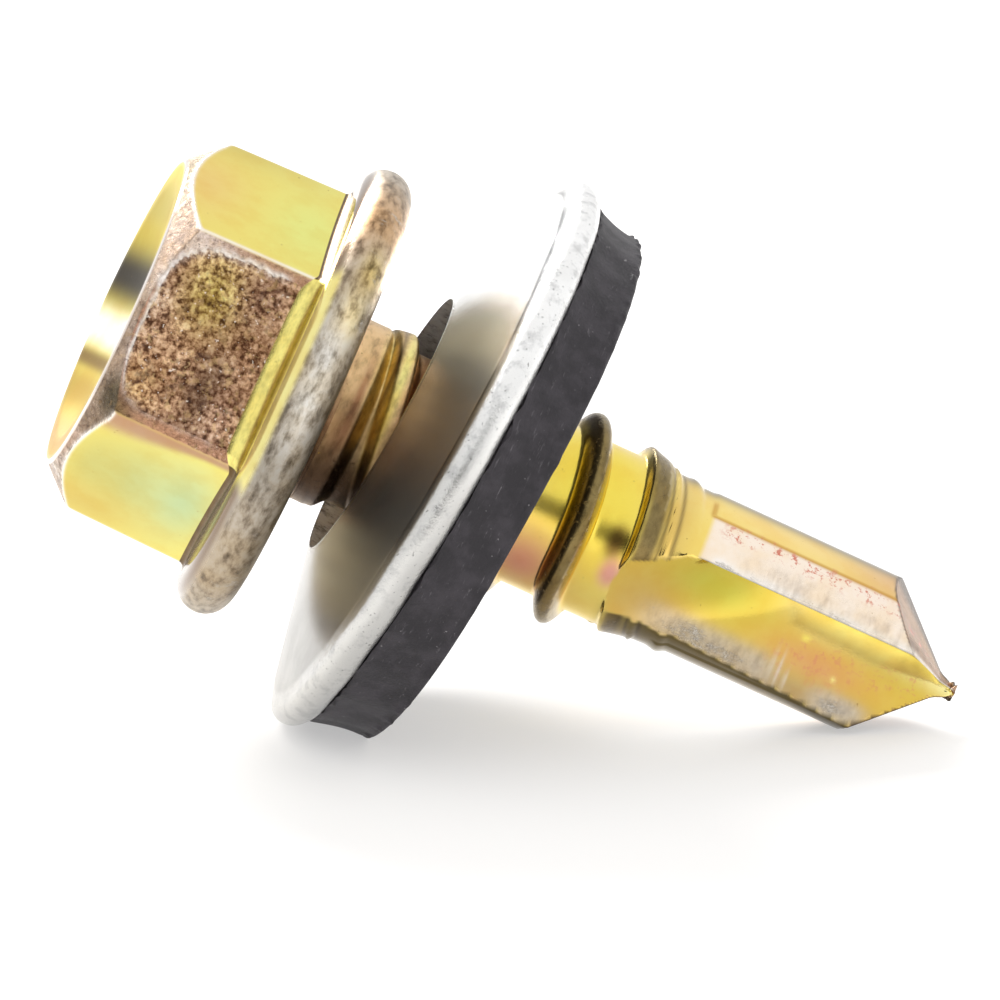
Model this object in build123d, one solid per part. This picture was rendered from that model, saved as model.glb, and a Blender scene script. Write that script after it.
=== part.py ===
"""Hex washer-head self-drilling screw with a bonded sealing washer, lying at rest.

Three solids: the one-piece screw, the dished metal disc and the rubber ring
bonded under it. The screw is drawn about its own axis, with +Z from the head
to the drill point and z = 0 on the underside of the flange. It is then laid
down: the shoulder of the drill point and the rubber's lower edge carry it,
and the rubber is pressed flat where it bears.
"""
from build123d import *
from math import atan, cos, pi, radians, sin, tan
import os

# ---- head ----
HEX_AF = 8.0              # across flats at the foot of the hexagon
HEX_DRAFT = 1.2           # degrees the flats lean in towards the top
HEX_CORNER_R = 0.18       # rounding of the six corners
HEX_TURN = -2.2           # degrees the hexagon is turned about the axis
HEAD_H = 5.05             # top of the head to the underside of the flange
CROWN_R = 3.72            # radius of the flat top inside the chamfer
CROWN_SLOPE = 1.05        # axial fall of the crown chamfer for each mm of radius
CROWN_EDGE_R = 0.12       # rounding of the flat top's rim
DIMPLE_D = 6.4            # shallow indentation that the heading die leaves in the top
DIMPLE_DEPTH = 0.55
FLANGE_D = 10.9
FLANGE_T = 1.26           # thickness of the flange, fully rounded at its rim
FLANGE_INNER_R = 3.0      # inner end of the flange's cone, inside the hexagon
FLANGE_RISE = 0.10        # fall of the flange's upper side from hexagon to rim
FLANGE_FILLET = 0.42      # hexagon to flange

# ---- shank and thread ----
LENGTH = 15.8             # underside of the flange to the tip
NECK_D = 4.40             # plain neck under the flange
NECK_L = 0.75
NECK_FILLET = 0.28
THREAD_D = 4.84           # over the crests
ROOT_D = 3.90             # core of the thread
PITCH = 1.60
CREST_W = 0.28            # flat left on the crest
FLANK = 30.0              # half the thread's included angle, degrees
THREAD_Z0 = 0.32          # helix start, on the +X side
THREAD_TURNS = 6
THREAD_EMBED = 0.12       # depth the ridge is sunk into the core
RUNOUT = ((0.45, 4.42), (1.05, 4.84), (6.80, 4.84), (7.50, 4.38), (8.30, 4.10), (8.75, 3.72))
ROLL_STEP_Z = 8.56        # low ring where the rolling stopped
ROLL_STEP_D = 3.94

# ---- drill point ----
DRILL_D = 3.74
DRILL_Z = 8.85            # where the plain drill body starts
FACET_U = 1.07            # fall of a point facet along its own side, per mm
FACET_V = 0.50            # rise of that facet towards its cutting lip, per mm
FLUTE_WEB = 0.15          # half the web between the flutes, at the tip
FLUTE_LEAN = 10.0         # degrees the flute's two walls lean about the axis
FLUTE_OFFSET = 0.09       # cutting face to the axis, at the web
FLUTE_SLOPE = 0.10        # rise of the flute's floor for each mm from the tip
FLUTE_RUNOUT_Z = 11.0     # where the floor starts to curve out, at the cutting face
FLUTE_RUNOUT_R = 3.0
FLUTE_RUNOUT_SWEEP = 62   # degrees of curve
FLUTE_SKEW = 1.3          # how far the run-out moves towards the head, per mm across the floor
FLUTE_ROOT_R = 0.20       # fillet between cutting face and floor

# ---- bonded washer, in its own frame: +z towards the drill point, z = 0 at the hole's upper edge ----
WASHER_D = 14.0
DISC_HOLE_D = 6.5
DISC_T = 0.80             # sheet thickness
DISC_DISH = 16.5          # degrees of dish
DISC_EDGE_R = 0.37        # die-rolled outer edge
DISC_LOWER_R = 0.40
RUBBER_TOP_R = 6.50       # radius where the rubber meets the disc
RUBBER_WAIST = 0.175      # how far its side pulls in between top and foot
RUBBER_D = 12.9
RUBBER_Z = 3.02           # sealing face below the hole's upper edge
RUBBER_BORE_D = 5.12
RUBBER_EDGE_R = 0.12
WASHER_COCK_X = 5.1       # degrees the washer leans towards +X on the screw
WASHER_COCK_Y = 1.8       # and towards +Y
WASHER_AT = 3.38          # distance of the bore's middle from the flange's underside

# ---- rest ----
LIE_ROLL = 11.2           # degrees from the screw's own +X, towards +Y, to its lowest side
LIE_GUESS = 25.0          # first guess at how far the axis falls, degrees
FLAT_SPOT = 0.08          # depth the rubber is pressed flat where it rests


def profile_face(points):
    """Closed face from (r, z) points in the XZ plane."""
    return make_face(Plane.XZ * Polyline(*points, close=True))


def head_top_z():
    return -HEAD_H


def flange():
    """Round flange with a fully rounded rim and a slightly coned upper side."""
    r = FLANGE_D / 2
    half = FLANGE_T / 2
    low = (r - half, 0)
    rim = (r, -half)
    high = (r - half, -FLANGE_T)
    inner = (FLANGE_INNER_R, -FLANGE_T - FLANGE_RISE)
    outline = Polyline((0, 0), low)
    outline += ThreePointArc(low, (r - half + half * cos(pi / 4), -half + half * sin(pi / 4)), rim)
    outline += ThreePointArc(rim, (r - half + half * cos(pi / 4), -half - half * sin(pi / 4)), high)
    outline += Polyline(high, inner, (0, -FLANGE_T - FLANGE_RISE), (0, 0))
    return revolve(make_face(Plane.XZ * outline), Axis.Z)


def hexagon():
    """Drafted hexagon with rounded corners and a conical crown."""
    height = HEAD_H - FLANGE_T / 2
    body = Pos(0, 0, -FLANGE_T / 2 - height / 2) * Cylinder(HEX_AF, height)
    for side in range(6):
        body -= beyond_flat(HEX_TURN + 60 * side + 30)
    sides = [e for e in body.edges() if abs(e.tangent_at(0.5).Z) > 0.9]
    sides = [e for e in sides if Vector(e.center().X, e.center().Y, 0).length < HEX_AF * 0.7]
    body = fillet(sides, HEX_CORNER_R)
    return body & crown_envelope()


def beyond_flat(turn):
    """Block outside one drafted flat of the hexagon."""
    block = 4 * HEX_AF
    foot = Pos(HEX_AF / 2, 0, -FLANGE_T / 2) * Rot(0, HEX_DRAFT, 0)
    return Rot(0, 0, turn) * foot * Pos(block / 2, 0, 0) * Box(block, block, block)


def crown_envelope():
    """Turned envelope that chamfers the top of the hexagon."""
    top = head_top_z()
    reach = 6.0
    points = [(0, 0), (reach, 0), (reach, top + CROWN_SLOPE * (reach - CROWN_R)), (CROWN_R, top), (0, top)]
    solid = revolve(profile_face(points), Axis.Z)
    rim = [e for e in solid.edges() if abs(e.center().Z - top) < 0.01 and e.geom_type == GeomType.CIRCLE]
    return fillet(rim, CROWN_EDGE_R)


def dimple():
    """Ball that leaves the indentation in the top of the head."""
    half = DIMPLE_D / 2
    radius = (half ** 2 + DIMPLE_DEPTH ** 2) / (2 * DIMPLE_DEPTH)
    return Pos(0, 0, head_top_z() + DIMPLE_DEPTH - radius) * Sphere(radius)


def head():
    """Hexagon on its flange, blended by a fillet, with an indented top."""
    body = flange() + hexagon() - dimple()
    foot = [e for e in body.edges() if -FLANGE_T - 0.25 < e.center().Z < -FLANGE_T - 0.01]
    foot = [e for e in foot if Vector(e.center().X, e.center().Y, 0).length < HEX_AF / 2 + 0.8]
    foot = [e for e in foot if abs(e.tangent_at(0.5).Z) < 0.3]
    return fillet(foot, FLANGE_FILLET)


def core():
    """Turned neck, thread core and drill body in one profile."""
    neck = NECK_D / 2
    root = ROOT_D / 2
    drill = DRILL_D / 2
    step = ROLL_STEP_D / 2
    points = [
        (0, -0.3),
        (neck + NECK_FILLET, -0.3),
        (neck + NECK_FILLET, 0),
        (neck + NECK_FILLET * 0.3, NECK_FILLET * 0.3),
        (neck, NECK_FILLET),
        (neck, NECK_L),
        (root, NECK_L + 0.3),
        (root - 0.01, ROLL_STEP_Z - 0.30),
        (step, ROLL_STEP_Z - 0.06),
        (step, ROLL_STEP_Z + 0.04),
        (drill, DRILL_Z),
        (drill - 0.01, LENGTH + 0.2),
        (0, LENGTH + 0.2),
    ]
    return revolve(profile_face(points), Axis.Z)


def ridge_turn(z0, height):
    """One stretch of the helical ridge, closed from four ruled strips and two ends."""
    crest = THREAD_D / 2
    foot = ROOT_D / 2 - THREAD_EMBED
    half_crest = CREST_W / 2
    half_foot = half_crest + (crest - foot) * tan(radians(FLANK))
    edges = []
    for r, dz in ((crest, -half_crest), (crest, half_crest), (foot, half_foot), (foot, -half_foot)):
        edges.append(Pos(0, 0, z0 + dz) * Edge.make_helix(PITCH, height, r))
    faces = []
    for i in range(4):
        faces.append(Face.make_surface_from_curves(edges[i], edges[(i + 1) % 4]))
    for end in (0, 1):
        corners = [e @ end for e in edges]
        sides = [Edge.make_line(corners[i], corners[(i + 1) % 4]) for i in range(4)]
        faces.append(Face(Wire(sides)))
    return Solid(Shell(faces))


def thread_ridge():
    """Right-hand helical ridge, trimmed by an envelope that fades both its ends."""
    ridge = ridge_turn(THREAD_Z0, PITCH)
    for i in range(1, THREAD_TURNS):
        ridge = ridge + ridge_turn(THREAD_Z0 + i * PITCH, PITCH)
    return ridge & thread_envelope()


def thread_envelope():
    """Turned solid whose radius is the height the crest may reach at each z."""
    points = [(0, RUNOUT[0][0] - 0.5)]
    points.append((RUNOUT[0][1] / 2, RUNOUT[0][0] - 0.5))
    points += [(d / 2, z) for z, d in RUNOUT]
    points.append((ROOT_D / 2 - THREAD_EMBED - 0.05, RUNOUT[-1][0] + 0.1))
    points.append((0, RUNOUT[-1][0] + 0.1))
    return revolve(profile_face(points), Axis.Z)


def flute_cutter():
    """Tool for one flute: a planar cutting face, a sloping floor and a curved run-out."""
    r = FLUTE_RUNOUT_R
    slope = atan(FLUTE_SLOPE)
    end = radians(FLUTE_RUNOUT_SWEEP)
    far = LENGTH + 2.5 * FLUTE_SKEW + 1.2
    start = (FLUTE_RUNOUT_Z, FLUTE_SLOPE * (LENGTH - FLUTE_RUNOUT_Z))
    centre = (start[0] + r * sin(slope), start[1] + r * cos(slope))
    mid = (slope + end) / 2
    arc_mid = (centre[0] - r * sin(mid), centre[1] - r * cos(mid))
    arc_end = (centre[0] - r * sin(end), centre[1] - r * cos(end))
    tip_end = (far, FLUTE_SLOPE * (LENGTH - far))
    roof = 4.0
    outline = Polyline(tip_end, start)
    outline += ThreePointArc(start, arc_mid, arc_end)
    outline += Polyline(arc_end, (arc_end[0], roof), (far, roof), tip_end)
    lean = radians(FLUTE_LEAN)
    across = (cos(lean), -sin(lean), 0)
    side = Plane(origin=(-FLUTE_OFFSET, -FLUTE_WEB, 0), x_dir=(0, 0, 1), z_dir=across)
    skewed = side.z_dir - side.x_dir * FLUTE_SKEW + side.y_dir * FLUTE_SLOPE * FLUTE_SKEW
    tool = extrude(side * make_face(outline), roof * skewed.length, dir=skewed.normalized())
    inner = [e for e in tool.edges() if abs(side.to_local_coords(e.center()).Z) < 0.01]
    floor = [e for e in inner if side.to_local_coords(e.center()).Y < 2.0 and e.length > 1.0]
    floor = [e for e in floor if abs(e.tangent_at(0.5).Z) > 0.3 and e.center().Z < far - 0.1]
    return fillet(floor, FLUTE_ROOT_R)


def point_facets(body):
    """Grind two lip facets and two heel facets that meet in the tip."""
    normals = ((-FACET_U, -FACET_V, 1), (FACET_U, FACET_V, 1), (-FACET_U, 0, 1), (FACET_U, 0, 1))
    for normal in normals:
        body = split(body, bisect_by=Plane(origin=(0, 0, LENGTH), z_dir=normal), keep=Keep.BOTTOM)
    return body


def screw():
    """The whole screw, upright on its axis."""
    body = head() + core()
    body = body + thread_ridge()
    tool = flute_cutter()
    body = body - tool
    body = body - Rot(0, 0, 180) * tool
    return point_facets(body)


def disc():
    """Dished metal disc with a punched hole and a rolled outer edge."""
    hole = DISC_HOLE_D / 2
    rim = WASHER_D / 2
    rise = tan(radians(DISC_DISH))
    drop = DISC_T / cos(radians(DISC_DISH))
    at_rim = (rim - hole) * rise
    points = [(hole, 0), (rim, at_rim), (rim, at_rim + drop), (hole, drop)]
    body = revolve(profile_face(points), Axis.Z)
    circles = [e for e in body.edges() if e.geom_type == GeomType.CIRCLE and e.length > 6 * rim]
    upper = [e for e in circles if e.center().Z < at_rim + drop / 2]
    lower = [e for e in circles if e.center().Z > at_rim + drop / 2]
    body = fillet(upper, DISC_EDGE_R)
    lower = [e for e in body.edges() if e.geom_type == GeomType.CIRCLE and abs(e.center().Z - at_rim - drop) < 0.001]
    lower = [e for e in lower if e.length > 6 * rim]
    return fillet(lower, DISC_LOWER_R)


def rubber():
    """Moulded ring bonded under the disc, with a waisted side and a rounded lower edge."""
    hole = DISC_HOLE_D / 2
    bore = RUBBER_BORE_D / 2
    foot = RUBBER_D / 2
    rise = tan(radians(DISC_DISH))
    drop = DISC_T / cos(radians(DISC_DISH))
    top = drop + (RUBBER_TOP_R - hole) * rise
    waist = ((RUBBER_TOP_R + foot) / 2 - RUBBER_WAIST, (top + RUBBER_Z) / 2)
    outline = Polyline((foot, RUBBER_Z), (bore, RUBBER_Z), (bore, drop), (hole, drop), (RUBBER_TOP_R, top))
    outline += ThreePointArc((RUBBER_TOP_R, top), waist, (foot, RUBBER_Z))
    body = revolve(make_face(Plane.XZ * outline), Axis.Z)
    rim = [e for e in body.edges() if abs(e.center().Z - RUBBER_Z) < 0.001 and e.length > 2 * pi * (bore + 1)]
    return fillet(rim, RUBBER_EDGE_R)


def on_screw(washer_part):
    """Put a washer piece on the screw: bore's middle on the axis, leaning by the cock."""
    drop = DISC_T / cos(radians(DISC_DISH))
    middle = (drop + RUBBER_Z) / 2
    lean = Rot(-WASHER_COCK_Y, 0, 0) * Rot(0, WASHER_COCK_X, 0)
    return Pos(0, 0, WASHER_AT) * lean * Pos(0, 0, -middle) * washer_part


def lie(piece, fall):
    """Lay a piece over: its axis falls towards +X by this angle, on the chosen side."""
    return Rot(0, 90 + fall, 0) * Rot(0, 0, -LIE_ROLL) * piece


def lowest(piece, fall):
    """Height of a piece's lowest point once it is laid over."""
    return lie(piece, fall).bounding_box().min.Z


def point_only(body):
    """The drill point alone, which is all of the screw that can meet the floor."""
    start = LENGTH - DRILL_D
    front = Pos(0, 0, start) * Cylinder(DRILL_D, 2 * DRILL_D, align=(Align.CENTER, Align.CENTER, Align.MIN))
    return body & front


def resting_fall(point, ring):
    """Angle at which the ring reaches FLAT_SPOT below the drill point's lowest corner."""
    low, high = LIE_GUESS - 3, LIE_GUESS + 3
    for _ in range(18):
        middle = (low + high) / 2
        if lowest(ring, middle) < lowest(point, middle) - FLAT_SPOT:
            low = middle
        else:
            high = middle
    return (low + high) / 2


def main():
    """Build the pieces, lay them over, trim the ring at the floor and write them out."""
    body = screw()
    metal = on_screw(disc())
    ring = on_screw(rubber())
    fall = resting_fall(point_only(body), ring)
    laid = {"screw": lie(body, fall), "metal_disc": lie(metal, fall), "rubber_ring": lie(ring, fall)}
    below = Box(3 * WASHER_D, 3 * WASHER_D, WASHER_D, align=(Align.CENTER, Align.CENTER, Align.MAX))
    laid["rubber_ring"] = laid["rubber_ring"] - Pos(0, 0, lowest(body, fall)) * below
    boxes = [solid.bounding_box() for solid in laid.values()]
    low = Vector(min(b.min.X for b in boxes), min(b.min.Y for b in boxes), min(b.min.Z for b in boxes))
    high = Vector(max(b.max.X for b in boxes), max(b.max.Y for b in boxes), max(b.max.Z for b in boxes))
    shift = Pos(-(low.X + high.X) / 2, -(low.Y + high.Y) / 2, -low.Z)
    os.makedirs("parts", exist_ok=True)
    for name, solid in laid.items():
        export_step(shift * solid, "parts/" + name + ".step")
    print("fall", round(fall, 3), "shift", shift.position, "size", high - low)


if __name__ == "__main__":
    main()
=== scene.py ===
"""Looks of a hex washer-head self-drilling screw with its bonded sealing washer.

Every surface is worked out about the screw's own axis, in millimetres: +Z runs from the
head to the drill point, z = 0 is the underside of the flange, and +X is the side that
lies lowest. Rest carries that frame to the part's frame, in metres. Angles among the
fields of the pieces are in degrees, and slopes are plain ratios.
"""

import logging
from dataclasses import dataclass, field
from enum import IntEnum
from math import atan, cos, pi, radians, sin, tan

import bpy
import numpy as np
from mathutils import Matrix, Vector


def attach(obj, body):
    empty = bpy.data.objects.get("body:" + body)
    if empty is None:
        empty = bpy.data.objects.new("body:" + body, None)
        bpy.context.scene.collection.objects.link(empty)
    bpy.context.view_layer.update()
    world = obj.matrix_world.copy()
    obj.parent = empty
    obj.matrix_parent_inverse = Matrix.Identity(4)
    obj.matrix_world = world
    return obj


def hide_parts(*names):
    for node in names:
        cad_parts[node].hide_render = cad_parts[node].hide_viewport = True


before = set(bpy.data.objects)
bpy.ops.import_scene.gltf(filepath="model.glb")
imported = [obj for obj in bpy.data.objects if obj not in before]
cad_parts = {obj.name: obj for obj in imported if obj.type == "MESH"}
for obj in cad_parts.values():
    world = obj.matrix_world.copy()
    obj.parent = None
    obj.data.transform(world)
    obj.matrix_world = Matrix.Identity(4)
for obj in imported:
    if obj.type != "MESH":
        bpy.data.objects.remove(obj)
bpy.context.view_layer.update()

LOG = logging.getLogger("screw")
MM = 0.001
FULL_TURN = 2 * pi
NOWHERE = 9.0  # distance in millimetres that lies outside every surface here

Field = np.ndarray
Paint = dict[str, np.ndarray]
Piece = bpy.types.Object
Shade = tuple[int, int, int]
Socket = bpy.types.NodeSocket


# ---- small mathematics

def soft_min(a: Field, b: Field, width: float) -> Field:
    """Smaller of two fields, rounded off: half of (a + b - hypot(a - b, width))."""
    return 0.5 * (a + b - np.sqrt((a - b) ** 2 + width * width))


def soft_max(a: Field, b: Field, width: float) -> Field:
    """Larger of two fields, rounded off over a width."""
    return -soft_min(-a, -b, width)


def fade(value: Field, low: float, high: float) -> Field:
    """Smooth step that is 0 at low and 1 at high: 3 t squared minus 2 t cubed."""
    t = np.clip((value - low) / (high - low), 0.0, 1.0)
    return t * t * (3.0 - 2.0 * t)


def span(value: Field, start: float, full: float, ease: float, end: float) -> Field:
    """Window that rises from start to full and falls from ease to end."""
    return fade(value, start, full) * (1 - fade(value, ease, end))


def bell(value: Field, middle: float, width: float, power: float = 2) -> Field:
    """Hump of height 1: exp of minus the scaled distance from the middle to a power."""
    return np.exp(-np.abs((value - middle) / width) ** power)


def near_turn(angle: Field, degrees: float, folds: int = 2) -> Field:
    """Signed angle from a direction, repeated as many times as folds around the axis."""
    period = FULL_TURN / folds
    return (angle - radians(degrees) + period / 2) % period - period / 2


def around(angle: Field, degrees: float, width: float, power: float = 2, folds: int = 2) -> Field:
    """Bell about a direction, with its width in degrees."""
    return bell(near_turn(angle, degrees, folds), 0.0, radians(width), power)


def sector(angle: Field, degrees: float, inner: float, outer: float) -> Field:
    """1 within the inner angle of a direction and 0 beyond the outer one, in degrees."""
    return 1 - fade(np.abs(near_turn(angle, degrees)), radians(inner), radians(outer))


class Axis(IntEnum):
    """Axes, by their place in a vector."""

    X = 0
    Y = 1
    Z = 2


def turn(axis: Axis, angle: float) -> Field:
    """Matrix of a turn about an axis: cosines on the diagonal and sines beside it.

    Args:
        axis: what to turn about.
        angle: how far, in radians.

    Returns:
        Matrix of 3 by 3.
    """
    matrix = np.eye(3)
    i, j = (axis + 1) % 3, (axis + 2) % 3
    matrix[i, i] = matrix[j, j] = cos(angle)
    matrix[j, i] = sin(angle)
    matrix[i, j] = -sin(angle)
    return matrix


def wander(angle: Field, seed: int, waves: int, lowest: int) -> Field:
    """Ragged closed line around a circle: a sum of sines of whole-number frequencies.

    Args:
        angle: where to read it, in radians.
        seed: picks the amplitudes and phases.
        waves: how many sines.
        lowest: smallest frequency.

    Returns:
        Values with a spread of about 1.
    """
    rng = np.random.default_rng(seed)
    counts = lowest + np.arange(waves) * 2
    phase = rng.uniform(0, FULL_TURN, waves)
    size = rng.uniform(0.3, 1.0, waves) / np.sqrt(waves * 0.25)
    return np.sum(size * np.sin(np.multiply.outer(angle, counts) + phase), axis=-1)


def linear(*channels: float) -> tuple[float, float, float, float]:
    """Linear colour from display values of 0 to 255."""
    lit = [c / 255 for c in channels]
    return tuple(c / 12.92 if c <= 0.04045 else ((c + 0.055) / 1.055) ** 2.4 for c in lit) + (1.0,)


# ---- frames

@dataclass(frozen=True)
class Rest:
    """How the screw lies: its axis falls towards +X after a roll, then it is shifted."""

    fall: float = 24.335
    roll: float = 11.2
    shift: tuple[float, float, float] = (-4.13627, 0.007099, 7.35443)

    def turned(self) -> Field:
        """Matrix that lays the own frame over."""
        return turn(Axis.Y, pi / 2 + radians(self.fall)) @ turn(Axis.Z, -radians(self.roll))

    def place(self, points: Field) -> Field:
        """Own-frame millimetres to part-frame metres."""
        return (points @ self.turned().T + np.array(self.shift)) * MM


@dataclass(frozen=True)
class Cock:
    """How the washer hangs on the shank: it leans about X and Y round its bore's middle."""

    lean_x: float = -1.8
    lean_y: float = 5.1
    middle: float = 1.9272
    station: float = 3.38

    def place(self, points: Field) -> Field:
        """Washer-frame millimetres to the screw's own frame."""
        lean = turn(Axis.X, radians(self.lean_x)) @ turn(Axis.Y, radians(self.lean_y))
        return (points - [0, 0, self.middle]) @ lean.T + [0, 0, self.station]


REST = Rest()
COCK = Cock()


# ---- meshes

def skin(name: str, points: Field, faces: list[Field], paint: Paint,
         crease: float = 38.0) -> Piece:
    """Smooth mesh of points and faces that looks outward and is linked to the scene.

    Args:
        name: name of the object.
        points: part-frame points.
        faces: corner numbers of the quads, then of any triangles.
        paint: named values at each point, or rows of 4 for a colour.
        crease: angle in degrees past which an edge is drawn sharp.

    Returns:
        The linked object.
    """
    a, b, c, d = (points[faces[0][:, i]] - points.mean(0) for i in range(4))
    if np.sum(a * np.cross(b, c)) + np.sum(a * np.cross(c, d)) < 0:
        faces = [block[:, ::-1] for block in faces]
    corners = np.concatenate([block.ravel() for block in faces])
    sizes = np.concatenate([np.full(len(block), block.shape[1]) for block in faces])
    mesh = bpy.data.meshes.new(name)
    mesh.vertices.add(len(points))
    mesh.vertices.foreach_set("co", points.astype(np.float32).ravel())
    mesh.loops.add(len(corners))
    mesh.loops.foreach_set("vertex_index", corners.astype(np.int32))
    mesh.polygons.add(len(sizes))
    mesh.polygons.foreach_set("loop_start", (np.cumsum(sizes) - sizes).astype(np.int32))
    mesh.update(calc_edges=True)
    mesh.validate()
    for key, values in paint.items():
        colour = values.ndim > 1
        layer = mesh.attributes.new(key, "FLOAT_COLOR" if colour else "FLOAT", "POINT")
        layer.data.foreach_set("color" if colour else "value", values.astype(np.float32).ravel())
    mesh.shade_smooth()
    mesh.set_sharp_from_angle(angle=radians(crease))
    piece = bpy.data.objects.new(name, mesh)
    bpy.context.scene.collection.objects.link(piece)
    return piece


def quads(start: int, rows: int, cols: int, joined: bool = False) -> Field:
    """Corner numbers of the quads between rows of points that are wrapped round their columns.

    Args:
        start: number of the first point.
        rows: how many rows there are.
        cols: how many points each row has.
        joined: whether the last row is joined to the first.

    Returns:
        Rows of 4 corner numbers.
    """
    low = np.arange(rows if joined else rows - 1)[:, None] * cols
    high = (low + cols) % (rows * cols)
    ring = np.arange(cols)
    after = (ring + 1) % cols
    corners = np.stack([low + ring, low + after, high + after, high + ring], axis=-1)
    return start + corners.reshape(-1, 4)


def with_poles(values: Field) -> Field:
    """One list of a grid's values, with a single value for the first and for the last row."""
    body = values[1:-1].reshape((-1,) + values.shape[2:])
    return np.concatenate([values[:1, 0], body, values[-1:, 0]])


def closed_skin(name: str, grid: Field, paint: Paint, crease: float = 38.0,
                rolled: int = 0) -> Piece:
    """Mesh of a grid that is wrapped round its columns and drawn to a point at both ends.

    Args:
        name: name of the object.
        grid: part-frame points, rows by columns by 3.
        paint: named values of the grid, or rows of 4 for a colour.
        crease: angle in degrees past which an edge is drawn sharp.
        rolled: edges before this row, past the first, are never drawn sharp.

    Returns:
        The linked object.
    """
    rows, cols = grid.shape[:2]
    points = with_poles(grid)
    ring = np.arange(cols)
    after = (ring + 1) % cols
    end = 1 + (rows - 3) * cols
    fans = np.concatenate([
        np.stack([np.zeros(cols, int), 1 + after, 1 + ring], axis=-1),
        np.stack([np.full(cols, len(points) - 1), end + ring, end + after], axis=-1),
    ])
    paint = {key: with_poles(values) for key, values in paint.items()}
    piece = skin(name, points, [quads(1, rows - 2, cols), fans], paint, crease)
    if rolled:
        mesh = piece.data
        ends = np.empty(2 * len(mesh.edges), np.int32)
        mesh.edges.foreach_get("vertices", ends)
        ends = ends.reshape(-1, 2)
        sharp = np.empty(len(mesh.edges), bool)
        layer = mesh.attributes["sharp_edge"]
        layer.data.foreach_get("value", sharp)
        kept = (ends.min(1) > rolled * cols) | (ends.max(1) <= cols)
        layer.data.foreach_set("value", sharp & kept)
    return piece


def ring_skin(name: str, grid: Field, paint: Paint) -> Piece:
    """Mesh of a closed section carried round an axis: a grid wrapped both ways, with no end.

    Args:
        name: name of the object.
        grid: part-frame points, section by turn by 3.
        paint: named values of the grid.

    Returns:
        The linked object.
    """
    rows, cols = grid.shape[:2]
    paint = {key: np.ravel(values) for key, values in paint.items()}
    return skin(name, grid.reshape(-1, 3), [quads(0, rows, cols, True)], paint)


# ---- shader building

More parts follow.
